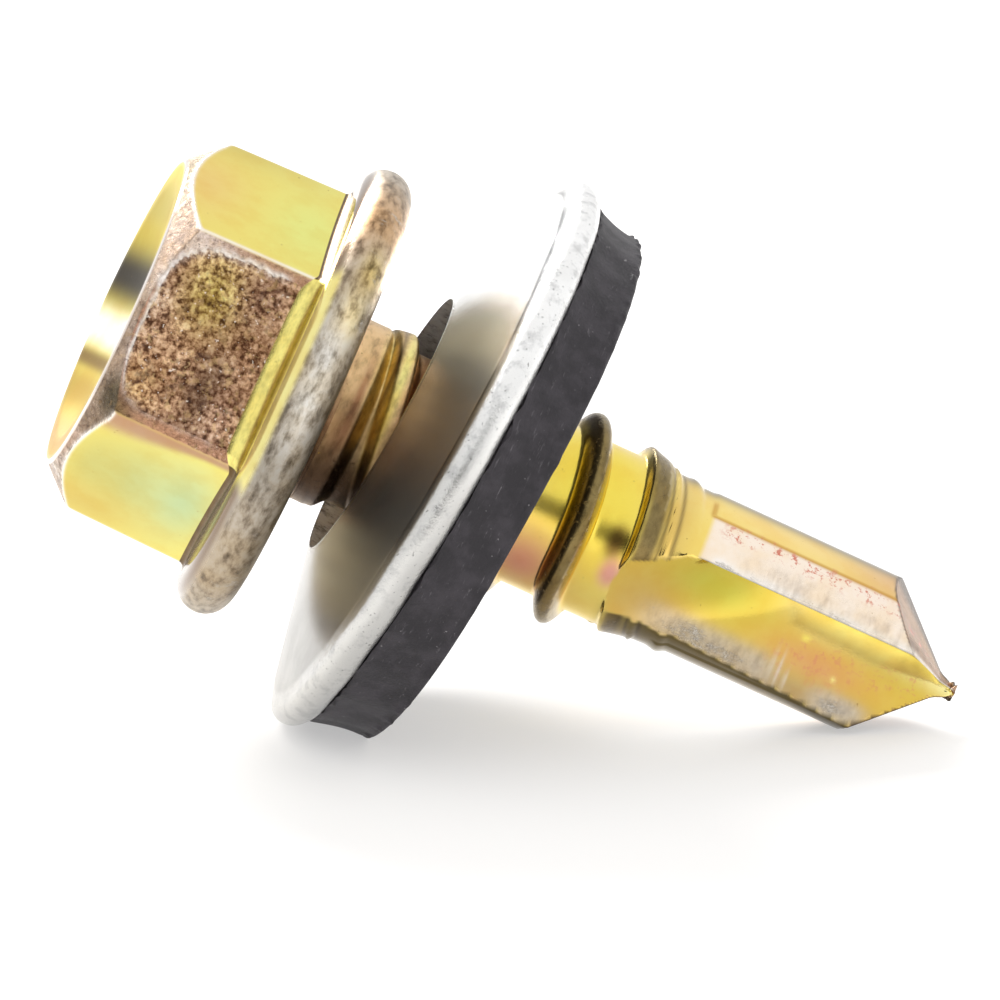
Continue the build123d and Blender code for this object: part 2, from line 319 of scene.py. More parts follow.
class Graph:
    """Thin helper that adds and joins the nodes of one material."""

    def __init__(self, name: str) -> None:
        """Start an empty material with a Principled shader.

        Args:
            name: name of the material.
        """
        self.material = bpy.data.materials.new(name)
        self.material.use_nodes = True
        self.tree = self.material.node_tree
        self.shader = self.tree.nodes["Principled BSDF"]

    def node(self, kind: str, inputs: dict, **settings: object) -> bpy.types.Node:
        """Add a node, set its properties, and set or link its inputs.

        Args:
            kind: type of the node, without its prefix.
            inputs: value or socket of each input, by its name or place.
            **settings: properties of the node.

        Returns:
            The new node.
        """
        made = self.tree.nodes.new("ShaderNode" + kind)
        for key, value in settings.items():
            setattr(made, key, value)
        self.feed(made, inputs)
        return made

    def feed(self, node: bpy.types.Node, inputs: dict) -> None:
        """Link sockets into a node's inputs, or set the inputs, with shades made linear.

        Args:
            node: node to feed.
            inputs: value or socket of each input, by its name or place.
        """
        for key, value in inputs.items():
            socket = node.inputs[key]
            if isinstance(value, Socket):
                self.tree.links.new(value, socket)
            else:
                socket.default_value = linear(*value) if socket.type == "RGBA" else value

    def own_place(self) -> Socket:
        """Object coordinates turned into the screw's own frame, in millimetres.

        Returns:
            Socket of the place.
        """
        inputs = {
            "Vector": self.node("TexCoord", {}).outputs["Object"],
            "Location": [v * MM for v in REST.shift],
            "Rotation": Matrix(REST.turned().tolist()).to_euler("XYZ"),
            "Scale": (MM, MM, MM),
        }
        return self.node("Mapping", inputs, vector_type="TEXTURE").outputs[0]

    def noise(self, place: Socket, scale: float, detail: float = 3.0, rough: float = 0.55,
              stretch: tuple[float, float, float] | None = None) -> Socket:
        """Fractal noise of about 0 to 1.

        Args:
            place: socket of the place, in millimetres.
            scale: how many features there are to a millimetre.
            detail: how many finer layers it adds.
            rough: strength of each finer layer.
            stretch: factors on the place along X, Y and Z.

        Returns:
            Socket of the noise.
        """
        if stretch:
            place = self.node("Mapping", {"Vector": place, "Scale": stretch}).outputs[0]
        inputs = {"Vector": place, "Scale": scale, "Detail": detail, "Roughness": rough}
        return self.node("TexNoise", inputs).outputs["Fac"]

    def painted(self, name: str, output: str = "Fac") -> Socket:
        """Painted value of the mesh, or its painted colour from the Color output."""
        return self.node("Attribute", {}, attribute_name=name).outputs[output]

    def along_x(self, place: Socket) -> Socket:
        """X of a place."""
        return self.node("SeparateXYZ", {0: place}).outputs[0]

    def math(self, operation: str, a: object, b: object, c: object = 0.0) -> Socket:
        """One arithmetic step."""
        return self.node("Math", {0: a, 1: b, 2: c}, operation=operation).outputs[0]

    def times(self, a: object, b: object, plus: object = 0.0) -> Socket:
        """Product of two values, plus a third."""
        return self.math("MULTIPLY_ADD", a, b, plus)

    def ripple(self, noise: Socket, depth: float, base: object) -> Socket:
        """Base value that a noise shifts up and down by up to half the depth."""
        return self.times(self.math("SUBTRACT", noise, 0.5), depth, base)

    def step(self, value: object, low: float, high: float,
             to_low: float = 0.0, to_high: float = 1.0) -> Socket:
        """Smooth step from one result to another while a value rises.

        Args:
            value: value or socket to read.
            low: value at which the step starts.
            high: value at which it ends.
            to_low: result up to low.
            to_high: result from high on.

        Returns:
            Socket of the result.
        """
        inputs = {
            "Value": value, "From Min": low, "From Max": high, "To Min": to_low, "To Max": to_high,
        }
        return self.node("MapRange", inputs, interpolation_type="SMOOTHSTEP").outputs[0]

    def ramp(self, value: Socket, stops: list[tuple[float, Shade]]) -> Socket:
        """Colour ramp through the given stops.

        Args:
            value: socket to read.
            stops: positions of 0 to 1 with their shades, in order.

        Returns:
            Socket of the colour.
        """
        made = self.node("ValToRGB", {"Fac": value})
        elements = made.color_ramp.elements
        for element, (position, shade) in zip(elements, (stops[0], stops[-1])):
            element.position, element.color = position, linear(*shade)
        for position, shade in stops[1:-1]:
            elements.new(position).color = linear(*shade)
        return made.outputs["Color"]

    def mix(self, amount: object, under: object, over: object, blend: str = "MIX") -> Socket:
        """Blend one colour over another."""
        inputs = {0: amount, 6: under, 7: over}
        return self.node("Mix", inputs, data_type="RGBA", blend_type=blend).outputs[2]

    def specks(self, under: Socket, noise: Socket, low: float, high: float, share: float,
               shade: Shade, blend: str = "MIX") -> Socket:
        """Lay a share of a shade wherever a noise passes from low to high."""
        return self.mix(self.step(noise, low, high, 0.0, share), under, shade, blend)

    def bump(self, height: Socket, depth: float, under: Socket | None = None) -> Socket:
        """Normal of a height field.

        Args:
            height: socket of the height, of 0 to 1.
            depth: its full range, in millimetres.
            under: socket of the normal that it lies on.

        Returns:
            Socket of the normal.
        """
        inputs = {"Height": height, "Distance": depth * MM, "Strength": 1.0}
        if under is not None:
            inputs["Normal"] = under
        return self.node("Bump", inputs).outputs[0]

    def surface(self, inputs: dict) -> bpy.types.Material:
        """Feed the shader and give the finished material."""
        self.feed(self.shader, inputs)
        return self.material


# ---- finishes

@dataclass(frozen=True)
class YellowZinc:
    """Bright zinc under an iridescent yellow passivation film, crystalline and rubbed in places.

    The mesh paints the film's colour and six amounts: grain, where the film is thick, dark
    and crystalline; mottle, where handling has dulled it in streaks; worn, where it is
    rubbed through to bare zinc; blush, where reddish specks sit in it; matt, where it
    is as smooth to look at but blurs what it mirrors; and chalk, where it is white and not
    metal: a powdery white coat where the drill's edge is flaked, and painted highlights on
    the head's edge lines and on the flange. The film's colour holds painted shade, painted
    highlights and painted reflections too, each noted where it is laid.
    """

    smooth: float = 0.13
    grained: float = 0.40
    dulled: float = 0.36
    rubbed: float = 0.34
    matted: float = 0.40
    crystal_depth: float = 0.022
    fine_depth: float = 0.0014

    def crystal(self, g: Graph, own: Socket, tint: Socket) -> Socket:
        """Crystals: the film's own colour in dark, gold and light grains, with painted glints in
        pale specks.

        Args:
            g: graph to build in.
            own: socket of the place in the own frame.
            tint: socket of the film's colour.

        Returns:
            Socket of the crystals' colour.
        """
        grains = g.ramp(g.noise(own, 7.5, 4.0, 0.62), [
            (0.36, (96, 76, 66)), (0.44, (156, 134, 120)), (0.50, (196, 178, 164)),
            (0.57, (234, 222, 208)), (0.66, (255, 255, 252)),
        ])
        look = g.mix(1.0, tint, grains, "MULTIPLY")
        look = g.specks(look, g.noise(own, 5.2, 4.0, 0.62), 0.54, 0.62, 0.4, (240, 206, 150))
        look = g.specks(look, g.noise(own, 3.6, 5.0, 0.68), 0.52, 0.70, 0.6, (96, 76, 68))
        patchy = g.step(g.noise(own, 1.7, 3.0, 0.6, (1.0, 1.0, 0.7)), 0.42, 0.60, 0.55, 0.0)
        look = g.mix(patchy, look, (188, 170, 156), "MULTIPLY")
        # Painted glints: pale specks laid into the colour.
        return g.specks(look, g.noise(own, 9.0, 3.0, 0.6), 0.64, 0.70, 0.85, (250, 236, 222))

    def material(self, name: str) -> bpy.types.Material:
        """Build the node material.

        Args:
            name: name of the material.

        Returns:
            The material.
        """
        g = Graph(name)
        own = g.own_place()
        speck = g.noise(own, 7.0, 7.0, 0.80)
        streak = g.noise(own, 2.2, 5.0, 0.62, (1.0, 1.0, 2.2))
        rub_streak = g.noise(own, 3.0, 7.0, 0.70, (1.0, 1.0, 0.42))
        fine = g.noise(own, 19.0, 4.0, 0.65)
        tint = g.painted("tint", "Color")
        mottle = g.painted("mottle")
        cloud = g.noise(own, 1.3, 4.0, 0.55)
        look = g.specks(tint, cloud, 0.38, 0.66, 0.30, (248, 226, 178), "MULTIPLY")
        look = g.specks(look, g.noise(own, 8.5, 2.0, 0.5), 0.74, 0.78, 0.6, (158, 124, 62))
        red = g.step(g.noise(own, 5.5, 6.0, 0.75), 0.52, 0.62)
        look = g.mix(g.times(red, g.painted("blush")), look, (214, 132, 112))
        broken = g.step(g.ripple(speck, 0.7, g.painted("grain")), 0.32, 0.60)
        look = g.mix(broken, look, self.crystal(g, own, tint))
        dull = g.ramp(streak, [
            (0.30, (134, 126, 116)), (0.41, (190, 182, 172)), (0.50, (230, 225, 218)),
            (0.58, (250, 247, 243)), (0.66, (255, 255, 255)),
        ])
        look = g.mix(mottle, look, dull, "MULTIPLY")
        bare = g.step(g.ripple(rub_streak, 1.6, g.painted("worn")), 0.34, 0.70)
        zinc = g.ramp(g.times(fine, 0.5, g.times(rub_streak, 0.5)), [
            (0.34, (112, 104, 94)), (0.46, (150, 142, 128)), (0.55, (176, 168, 156)),
            (0.66, (222, 216, 206)),
        ])
        rough = g.times(broken, self.grained - self.smooth, self.smooth)
        rough = g.times(mottle, self.dulled - self.smooth, rough)
        rough = g.math("MAXIMUM", rough, g.times(bare, self.rubbed))
        rough = g.times(g.painted("matt"), self.matted, rough)
        amount = g.times(mottle, 0.5, g.times(bare, 0.5, g.math("ADD", broken, 0.02)))
        crystals = g.bump(g.times(speck, amount), self.crystal_depth)
        return g.surface({
            "Base Color": g.mix(bare, look, zinc),
            "Metallic": g.math("SUBTRACT", 1.0, g.painted("chalk_and_highlight")),
            "Roughness": g.ripple(fine, 0.10, rough),
            "Normal": g.bump(fine, self.fine_depth, crystals),
        })


@dataclass(frozen=True)
class BareZinc:
    """Galvanised sheet: satin face, pitted bright rim, sheared wall in the punched hole."""

    satin: float = 0.24
    bright: float = 0.20
    metal: float = 0.96
    grime: float = 0.86
    relief: float = 0.008

    def material(self, name: str) -> bpy.types.Material:
        """Build the node material.

        Args:
            name: name of the material.

        Returns:
            The material.
        """
        g = Graph(name)
        own = g.own_place()
        grain = g.noise(own, 9.0, 5.0, 0.7)
        streak = g.noise(own, 3.4, 5.0, 0.75, (1.0, 1.0, 0.45))
        rim = g.painted("rim")
        shear = g.painted("shear")
        # Painted shade: the face is painted lighter towards its upper side and darker towards its
        # lowest side (+X), where it mirrors the bright floor; off the rim, the lowest part is
        # darkened further.
        look = g.mix(g.step(g.along_x(own), -3.6, 1.5), (250, 250, 249), (207, 206, 203))
        lowest = g.times(g.math("SUBTRACT", 1.0, rim), g.step(g.along_x(own), 2.5, 5.2))
        look = g.mix(lowest, look, (186, 185, 183), "MULTIPLY")
        look = g.specks(look, g.noise(own, 0.8, 3.0), 0.35, 0.7, 0.25, (214, 213, 210))
        dent = g.step(g.noise(own, 2.6, 4.0, 0.6), 0.48, 0.70, 0.0, 0.45)
        look = g.mix(g.times(dent, rim), look, (160, 160, 160))
        look = g.mix(g.painted("line"), look, (66, 66, 68))
        pits = g.step(g.noise(own, 14.0, 3.0, 0.5), 0.66, 0.72)
        look = g.mix(g.times(pits, g.times(rim, 0.75, 0.12)), look, (98, 96, 94))
        cut = g.ramp(streak, [
            (0.38, (170, 170, 172)), (0.46, (236, 236, 238)), (0.54, (255, 255, 255)),
            (0.64, (255, 255, 255)),
        ])
        # Painted shade: the sheared wall is darkened round the far side of the hole.
        wall = g.mix(g.painted("shade"), cut, (60, 56, 60), "MULTIPLY")
        rough = g.ripple(grain, 0.12, g.times(rim, self.bright - self.satin, self.satin))
        torn = g.times(streak, g.times(shear, 5.0))
        height = g.times(grain, g.times(rim, 1.6, 0.35), torn)
        return g.surface({
            "Base Color": g.mix(shear, look, wall),
            "Metallic": g.times(shear, -self.grime, self.metal),
            "Roughness": g.times(shear, 0.25, rough),
            "Normal": g.bump(height, self.relief),
        })


@dataclass(frozen=True)
class SealRubber:
    """Matt black moulded rubber with dust, fine scuffs and a slightly shiny skin."""

    rough: float = 0.42
    shine: float = 0.35
    relief: float = 0.022

    def material(self, name: str) -> bpy.types.Material:
        """Build the node material.

        Args:
            name: name of the material.

        Returns:
            The material.
        """
        g = Graph(name)
        own = g.own_place()
        grain = g.noise(own, 12.0, 5.0, 0.7)
        scuff = g.noise(own, 5.0, 4.0, 0.7, (0.35, 1.0, 2.6))
        look = g.mix(g.step(g.noise(own, 1.6, 4.0, 0.6), 0.38, 0.66), (44, 41, 45), (60, 56, 61))
        look = g.specks(look, scuff, 0.60, 0.74, 0.6, (112, 108, 112))
        look = g.specks(look, g.noise(own, 9.0, 2.0, 0.4), 0.74, 0.79, 0.55, (170, 166, 168))
        return g.surface({
            "Base Color": look,
            "Roughness": g.times(grain, 0.2, self.rough),
            "Specular IOR Level": self.shine,
            "Normal": g.bump(g.math("ADD", grain, scuff), self.relief),
        })


# ---- painted zones

@dataclass(frozen=True)
class Zone:
    """Soft patch: full at its middle, fading with distance around the screw and along it.

    Across is the middle's own X, in millimetres, on the side that faces -Y; the same patch
    sits half a turn on, because the screw is alike from both sides.
    """

    shade: Shade
    across: float
    along: float
    wide: float
    long: float
    strength: float = 1.0
    hard: float = 2.0

    def weight(self, place: Field, z: Field, radius: float) -> Field:
        """Strength times exp of minus the scaled distance to the power hard.

        Args:
            place: turn of each point, or its distance across where there is no radius.
            z: station of each point.
            radius: radius at which distances across are measured, or 0.

        Returns:
            Share of the shade at each point.
        """
        sideways = place - self.across
        if radius:
            middle = -90 + np.degrees(np.arcsin(np.clip(self.across / radius, -1, 1)))
            sideways = near_turn(place, middle) * radius
        far = np.hypot(sideways / self.wide, (z - self.along) / self.long)
        return self.strength * np.exp(-far ** self.hard)


def blend(under: Field, over: Field, share: Field) -> Field:
    """Blend one painted field over another by a share of 0 to 1."""
    share = np.clip(share, 0, 1)[..., None]
    return under * (1 - share) + over * share


def lay(colour: Field, shade: Shade, share: Field) -> Field:
    """Lay one shade over a painted field by a share of 0 to 1."""
    return blend(colour, np.array(linear(*shade)), share)


def film(zones: tuple[Zone, ...], ground: Shade, place: Field, z: Field, radius: float) -> Field:
    """Film colour: the ground with each zone laid over it in turn.

    Args:
        zones: patches, from the lowest to the uppermost.
        ground: shade beneath them all.
        place: turn of each point, or its distance across where there is no radius.
        z: station of each point.
        radius: radius at which the zones are measured, or 0.

    Returns:
        Colours in rows of 4.
    """
    colour = np.broadcast_to(np.array(linear(*ground)), place.shape + (4,))
    for zone in zones:
        colour = lay(colour, zone.shade, zone.weight(place, z, radius))
    return colour


# ---- head

class Part(IntEnum):
    """Stretches of the head's section, from the indentation to the neck."""

    DIMPLE = 0
    LAND = 1
    CROWN = 2
    SIDE = 3
    FILLET = 4
    FLANGE = 5
    UNDER = 6
    NECK = 7


@dataclass
class Head:
    """Indented hexagon head on its round flange, down to the foot of the neck's fillet."""

    across_flats: float = 8.0
    draft: float = 1.2
    turned: float = -2.2
    front: float = -92.2
    corner_radius: float = 0.20
    corner_worn: float = 0.45
    worn_corner: float = -62.2
    top: float = -5.05
    lifted: float = 0.21
    crown_radius: float = 3.72
    crown_slope: float = 1.05
    crown_edge: float = 0.12
    dimple_radius: float = 3.2
    dimple_depth: float = 0.55
    flange_radius: float = 5.45
    flange_thick: float = 1.26
    flange_rise: float = 0.10
    flange_inner: float = 3.0
    fillet: float = 0.42
    fillet_least: float = 0.14
    foot_z: float = -1.9
    patch_half: float = 2.0
    patch_round: float = 1.25
    patch_top: float = -4.68
    neck_radius: float = 2.20
    neck_fillet: float = 0.28

    def columns(self) -> Field:
        """Angles of the columns, close together at the hexagon's corners.

        Returns:
            Angles in radians, once round.
        """
        half = np.concatenate([np.linspace(0, 3.6, 11)[:-1], np.linspace(3.6, 30, 19)])
        sixth = np.concatenate([half, 60 - half[-2:0:-1]])
        return np.radians(self.turned + (np.arange(6)[:, None] * 60 + sixth).ravel())

    def off_flat(self, angle: Field) -> Field:
        """Signed angle from the middle of the nearest flat."""
        return (angle - radians(self.turned)) % (pi / 3) - pi / 6

    def hexagon(self, angle: Field, z: Field) -> Field:
        """Radius of the drafted, round-cornered hexagon.

        A flat at distance d gives d / cos of the angle from its middle; near a corner the
        ray meets the corner's circle instead.

        Args:
            angle: turn of each point, in radians.
            z: station of each point.

        Returns:
            Radius at each point.
        """
        d = self.across_flats / 2 - (-z - self.flange_thick / 2) * tan(radians(self.draft))
        off = self.off_flat(angle)
        corner = self.corner_radius + self.corner_worn * around(angle, self.worn_corner, 25, 4, 1)
        hub = (d - corner) / cos(pi / 6)
        swing = pi / 6 - np.abs(off)
        inside = corner ** 2 - (hub * np.sin(swing)) ** 2
        circle = hub * np.cos(swing) + np.sqrt(np.maximum(inside, 0.0))
        touch = np.abs(np.tan(off)) > hub * 0.5 / d
        return np.where(touch & (inside > 0), circle, d / np.cos(off))

    def cone(self, z: Field) -> Field:
        """Radius of the crown's chamfer, which opens out from the top."""
        return self.crown_radius + (z - self.top) / self.crown_slope

    def flange_top(self, r: Field) -> Field:
        """Height of the flange's upper side: a shallow cone, then the rim's half circle.

        Args:
            r: radius of each point.

        Returns:
            Height at each point.
        """
        half = self.flange_thick / 2
        centre = self.flange_radius - half
        cone = -self.flange_thick - self.flange_rise * (centre - r) / (centre - self.flange_inner)
        round_edge = -half - np.sqrt(np.maximum(half ** 2 - (r - centre) ** 2, 0.0))
        return np.where(r < centre, cone, round_edge)

    def rows(self, angle: Field) -> tuple[Field, Field, Field]:
        """Section of the head at each turn, from the indentation's middle to the neck.

        The indentation is a cap of a ball and the crown's edge an arc. The side is the lesser of
        the chamfer's cone and the hexagon, and a quarter circle leads from it to the flange. The
        flange is a shallow cone, a half circle and a flat underside, which a quarter circle joins
        to the neck.

        Args:
            angle: turn of each column, in radians.

        Returns:
            Radius, z and part of every grid point.
        """
        ones = np.ones_like(angle)
        ball = (self.dimple_radius ** 2 + self.dimple_depth ** 2) / (2 * self.dimple_depth)
        r = np.linspace(0, self.dimple_radius, 30)[:, None] * ones
        z = self.top + self.dimple_depth - ball + np.sqrt(ball ** 2 - r ** 2)
        runs = [(Part.DIMPLE, r, z)]
        bend = atan(self.crown_slope)
        edge_r = self.crown_radius - self.crown_edge * tan(bend / 2)
        r = np.linspace(self.dimple_radius, edge_r, 5)[1:, None] * ones
        runs.append((Part.LAND, r, np.full_like(r, self.top)))
        a = np.linspace(0, bend, 7)[1:, None] * ones
        z = self.top + self.crown_edge * (1 - np.cos(a))
        runs.append((Part.CROWN, edge_r + self.crown_edge * np.sin(a), z))
        start = self.top + self.crown_edge * (1 - cos(bend))
        foot_r = self.hexagon(angle, np.full_like(angle, self.foot_z))
        spread = (self.fillet - self.fillet_least) * sector(angle, self.front, 25, 33)
        fillet = self.fillet_least + spread
        foot = self.flange_top(foot_r) - fillet
        t = np.concatenate([np.linspace(0, 0.36, 50)[1:], np.linspace(0.36, 1, 34)[1:]])[:, None]
        z = start + (foot - start) * t
        r = soft_min(self.cone(z), self.hexagon(angle, z), 0.05)
        runs.append((Part.SIDE, r, z))
        b = np.linspace(0, pi / 2, 15)[1:, None]
        r = r[-1] + fillet * (1 - np.cos(b))
        runs.append((Part.FILLET, r, self.flange_top(r) - fillet * (1 - np.sin(b))))
        half = self.flange_thick / 2
        centre = self.flange_radius - half
        past = r[-1] - centre
        begin = np.where(past < 0, past, half * np.arcsin(np.clip(past / half, 0, 1)))
        q = begin + (pi * half - begin) * np.linspace(0, 1, 48)[1:, None]
        arc = np.maximum(q, 0.0) / half
        r = np.where(q < 0, centre + q, centre + half * np.sin(arc))
        cone = self.flange_top(centre + np.minimum(q, 0.0))
        runs.append((Part.FLANGE, r, np.where(q < 0, cone, -half - half * np.cos(arc))))
        inner = self.neck_radius + self.neck_fillet
        r = np.linspace(centre, inner, 9)[1:, None] * ones
        runs.append((Part.UNDER, r, np.zeros_like(r)))
        b = np.linspace(0, pi / 2, 9)[1:, None] * ones
        z = self.neck_fillet * (1 - np.cos(b))
        runs.append((Part.NECK, inner - self.neck_fillet * np.sin(b), z))
        runs.append((Part.NECK, 0 * ones[None], self.neck_fillet * ones[None]))
        parts = [np.full(r.shape, kind.value) for kind, r, _ in runs]
        radii, heights = [r for _, r, _ in runs], [z for _, _, z in runs]
        return np.concatenate(radii), np.concatenate(heights), np.concatenate(parts)

    def patch(self, a: Field, z: Field) -> Field:
        """Distance outside the rounded patch of thick film on the front-facing flats.

        The patch is a rectangle across and along the flat with its two crown-side corners
        rounded off. Its outline wanders a little.

        Args:
            a: turn of each point, in radians.
            z: station of each point.

        Returns:
            Distance in millimetres, negative inside the patch.
        """
        across = self.across_flats / 2 * np.tan(near_turn(a, self.front))
        round_z = 0.95 + 0.60 * fade(-across, -0.3, 0.3)
        straight = self.patch_half - self.patch_round
        past_x = np.maximum(np.abs(across + 0.05) - straight, 0) / self.patch_round
        past_z = np.maximum(self.patch_top + round_z - z, 0) / round_z
        slow, quick = np.sin(7.3 * z + 3.1 * across), np.sin(17.0 * z - 11.0 * across)
        return (np.hypot(past_x, past_z) - 1) * self.patch_round + 0.022 * slow + 0.018 * quick

    def flats_film(self, a: Field, z: Field) -> Field:
        """Colours of the three kinds of flat, with the pinkish edges between them.

        Args:
            a: turn of each point, in radians.
            z: station of each point.

        Returns:
            Colours in rows of 4.
        """
        colour = film((
            Zone((236, 203, 118), -3.7, -4.5, 1.6, 1.0, 0.9),
            Zone((228, 231, 130), -3.6, -1.9, 1.8, 1.0, 0.9),
            Zone((196, 188, 108), 3.6, -4.2, 1.8, 1.0, 0.95),
            Zone((190, 190, 120), 3.5, -3.2, 1.8, 0.9, 0.9),
            Zone((184, 203, 154), 3.5, -2.0, 1.8, 0.95, 0.95),
            Zone((206, 184, 100), 4.15, -4.2, 0.8, 1.6, 0.85),
        ), (238, 221, 112), a, z, 4.2)
        face = film((
            Zone((250, 240, 140), -1.15, -3.35, 0.85, 0.75, 0.85),
            Zone((208, 178, 160), -1.55, -2.3, 0.75, 0.6, 0.8),
            Zone((255, 222, 168), 1.3, -4.15, 0.7, 0.6, 0.8),
            Zone((150, 130, 116), 0.8, -2.65, 0.9, 0.45, 0.85),
            Zone((246, 214, 196), 1.2, -2.1, 0.7, 0.35, 0.7),
            Zone((250, 226, 204), -0.5, -4.4, 0.8, 0.4, 0.7),
        ), (246, 212, 182), a, z, self.across_flats / 2)
        rim = film((
            Zone((96, 82, 54), 1.9, -4.35, 0.5, 0.55, 0.95),
            Zone((246, 232, 224), -1.9, -4.2, 0.7, 0.9, 0.9),
            Zone((246, 214, 170), -2.3, -2.4, 0.3, 1.0, 0.6),
        ), (190, 148, 124), a, z, self.across_flats / 2)
        front = sector(a, self.front, 29.2, 30.6)
        face = blend(rim, face, fade(-self.patch(a, z), 0.0, 0.08))
        reach = radians(2.0) + radians(5.5) * fade(-z, 1.8, 4.3)
        edge = bell(near_turn(a, self.worn_corner), 0.0, reach, 4)
        return lay(blend(colour, face, front), (178, 138, 118), 0.9 * edge * (1 - front))

    def chamfer_film(self, a: Field, z: Field) -> Field:
        """Colours of the crown's chamfer, with a painted highlight at its top edge on the side that
        lies lowest.

        Args:
            a: turn of each point, in radians.
            z: station of each point.

        Returns:
            Colours in rows of 4.
        """
        return film((
            Zone((138, 126, 92), -3.7, -4.8, 1.0, 0.6, 0.9),
            Zone((134, 108, 86), -2.7, -4.45, 0.8, 0.5, 0.85),
            Zone((84, 74, 48), 1.7, -4.55, 0.62, 0.42, 0.95, 3.0),
            Zone((128, 102, 66), 2.5, -4.6, 0.45, 0.4, 0.8),
            Zone((206, 172, 146), 3.2, -4.7, 0.5, 0.5, 0.8),
            # Painted highlight at the chamfer's top edge on the lowest side.
            Zone((246, 240, 234), 3.85, -5.0, 0.30, 0.5, 0.8),
        ), (200, 180, 164), a, z, 3.95)

    def top_painted_reflections(self, x: Field) -> Field:
        """Colours of the indented top, in bands across it, which are painted reflections.

        Args:
            x: place of each point across the top, in millimetres.

        Returns:
            Colours in rows of 4.
        """
        colour = film((), (214, 196, 92), x, x, 0)
        # Painted reflections: gold bands, with a near-black one and a near-white one, laid across
        # the top.
        bands = (
            ((188, 172, 84), -2.6, 0.6, 0.8), ((196, 178, 66), -1.8, 0.4, 0.8),
            ((52, 44, 28), -0.85, 0.66, 1.0), ((255, 255, 236), 0.46, 0.46, 1.0),
            ((120, 92, 40), 1.24, 0.22, 0.9), ((172, 142, 52), 2.0, 0.5, 0.85),
            ((200, 164, 110), 3.1, 0.6, 0.85),
        )
        for shade, middle, wide, strength in bands:
            colour = lay(colour, shade, strength * bell(x, middle, wide, 3))
        return colour

    def flange_film(self, a: Field, z: Field) -> Field:
        """Colours of the dulled rim, with film left on its upper round beside the flats, and a
        painted highlight near the rim's middle on the front.

        Args:
            a: turn of each point, in radians.
            z: station of each point.

        Returns:
            Colours in rows of 4.
        """
        colour = film((
            Zone((214, 178, 138), -4.4, -0.7, 1.5, 2.0, 0.85),
            Zone((232, 212, 150), -3.1, -0.42, 0.6, 0.26, 0.95),
            Zone((252, 232, 168), -2.0, -0.50, 0.6, 0.26, 0.9),
            # Painted highlight near the rim's middle on the front.
            Zone((255, 255, 252), -0.4, -0.62, 1.5, 0.30, 0.9),
            Zone((150, 146, 138), 1.9, -0.75, 0.8, 0.5, 0.8),
            Zone((182, 166, 142), 4.6, -0.6, 1.9, 2.0, 0.85),
        ), (186, 178, 166), a, z, self.flange_radius)
        front = sector(a, self.front, 27, 33)
        colour = lay(colour, (240, 230, 150), 0.95 * (1 - fade(z, -1.06, -0.92)) * front)
        return lay(colour, (118, 94, 72), 0.85 * (1 - fade(z, -1.16, -1.0)) * (1 - front))

    def neck_film(self, a: Field, z: Field) -> Field:
        """Colours of the fillet under the flange, with painted shade on its lower half.

        Args:
            a: turn of each point, in radians.
            z: station of each point.

        Returns:
            Colours in rows of 4.
        """
        return film((
            Zone((150, 112, 88), 0.3, 0.2, 0.8, 3.0, 0.8),
            # Painted shade: darker on the lower half (+X).
            Zone((56, 38, 32), 1.6, 0.2, 1.45, 3.0, 0.95, 4.0),
        ), (238, 202, 154), a, z, self.neck_radius)

    def build(self) -> Piece:
        """Make the painted mesh.

        Returns:
            The head's object.
        """
        angle = self.columns()
        r, z, part = self.rows(angle)
        a = np.broadcast_to(angle, r.shape)
        x, y = r * np.cos(a), r * np.sin(a)
        gap = self.cone(z) - self.hexagon(a, z)
        side, fillet, flange = part == Part.SIDE, part == Part.FILLET, part == Part.FLANGE
        on_cone = side & (gap < 0)
        on_top = part <= Part.LAND
        under = part >= Part.UNDER
        swing = near_turn(a, self.front)
        face = sector(a, self.front, 29.4, 30.4)
        corner = bell(np.abs(self.off_flat(a)), radians(30), radians(0.8))
        upright = side * (gap > 0) * corner * (1 - sector(a, self.worn_corner, 4, 9))
        outside = self.patch(a, z)
        ring = bell(outside, 0.0, 0.085) * (1 - 0.75 * fade(4.0 * np.tan(swing), 1.0, 1.9))
        ring = ring * fade(-z, 1.8, 2.2)
        line = side * (bell(gap, 0.0, 0.05) + upright) * (1 - face) + side * face * ring
        line = line + 0.9 * bell(r, self.crown_radius, 0.05) * (part <= Part.CROWN)
        colour = self.flats_film(a, z)
        colour = blend(colour, self.chamfer_film(a, z), (part == Part.CROWN) | on_cone)
        colour = blend(colour, self.top_painted_reflections(x), on_top)
        # White lines along the chamfer's edges, the hexagon's upright edges and round the front
        # patch: partly rubbed edges, partly painted highlights.
        colour = lay(colour, (255, 250, 246), 0.9 * np.clip(line, 0, 1))
        # Painted shade: the fillet under the hexagon is painted dark; beside the front flat it is
        # painted light yellow, a painted highlight.
        colour = lay(colour, (112, 92, 64), fillet)
        colour = lay(colour, (250, 238, 142), fillet & (np.abs(swing) < radians(30)))
        colour = blend(colour, self.flange_film(a, z), flange)
        # Painted shade: a darker line along the crease where the fillet meets the flange, beside
        # the front.
        crease = bell(z, -1.30, 0.035) * (flange | fillet) * (np.abs(swing) < radians(29))
        colour = lay(colour, (134, 112, 48), 0.6 * crease)
        # The flange's underside is painted pale grey-gold, then darker towards its upper side (-X):
        # painted shade, which dims what the disc mirrors there.
        colour = lay(colour, (206, 194, 160), under)
        colour = lay(colour, (104, 98, 78), under * fade(-x, -0.5, 3.4))
        colour = blend(colour, self.neck_film(a, z), part == Part.NECK)
        thick = side * face * fade(-outside, 0.0, 0.07) * fade(-z, 1.58, 1.70)
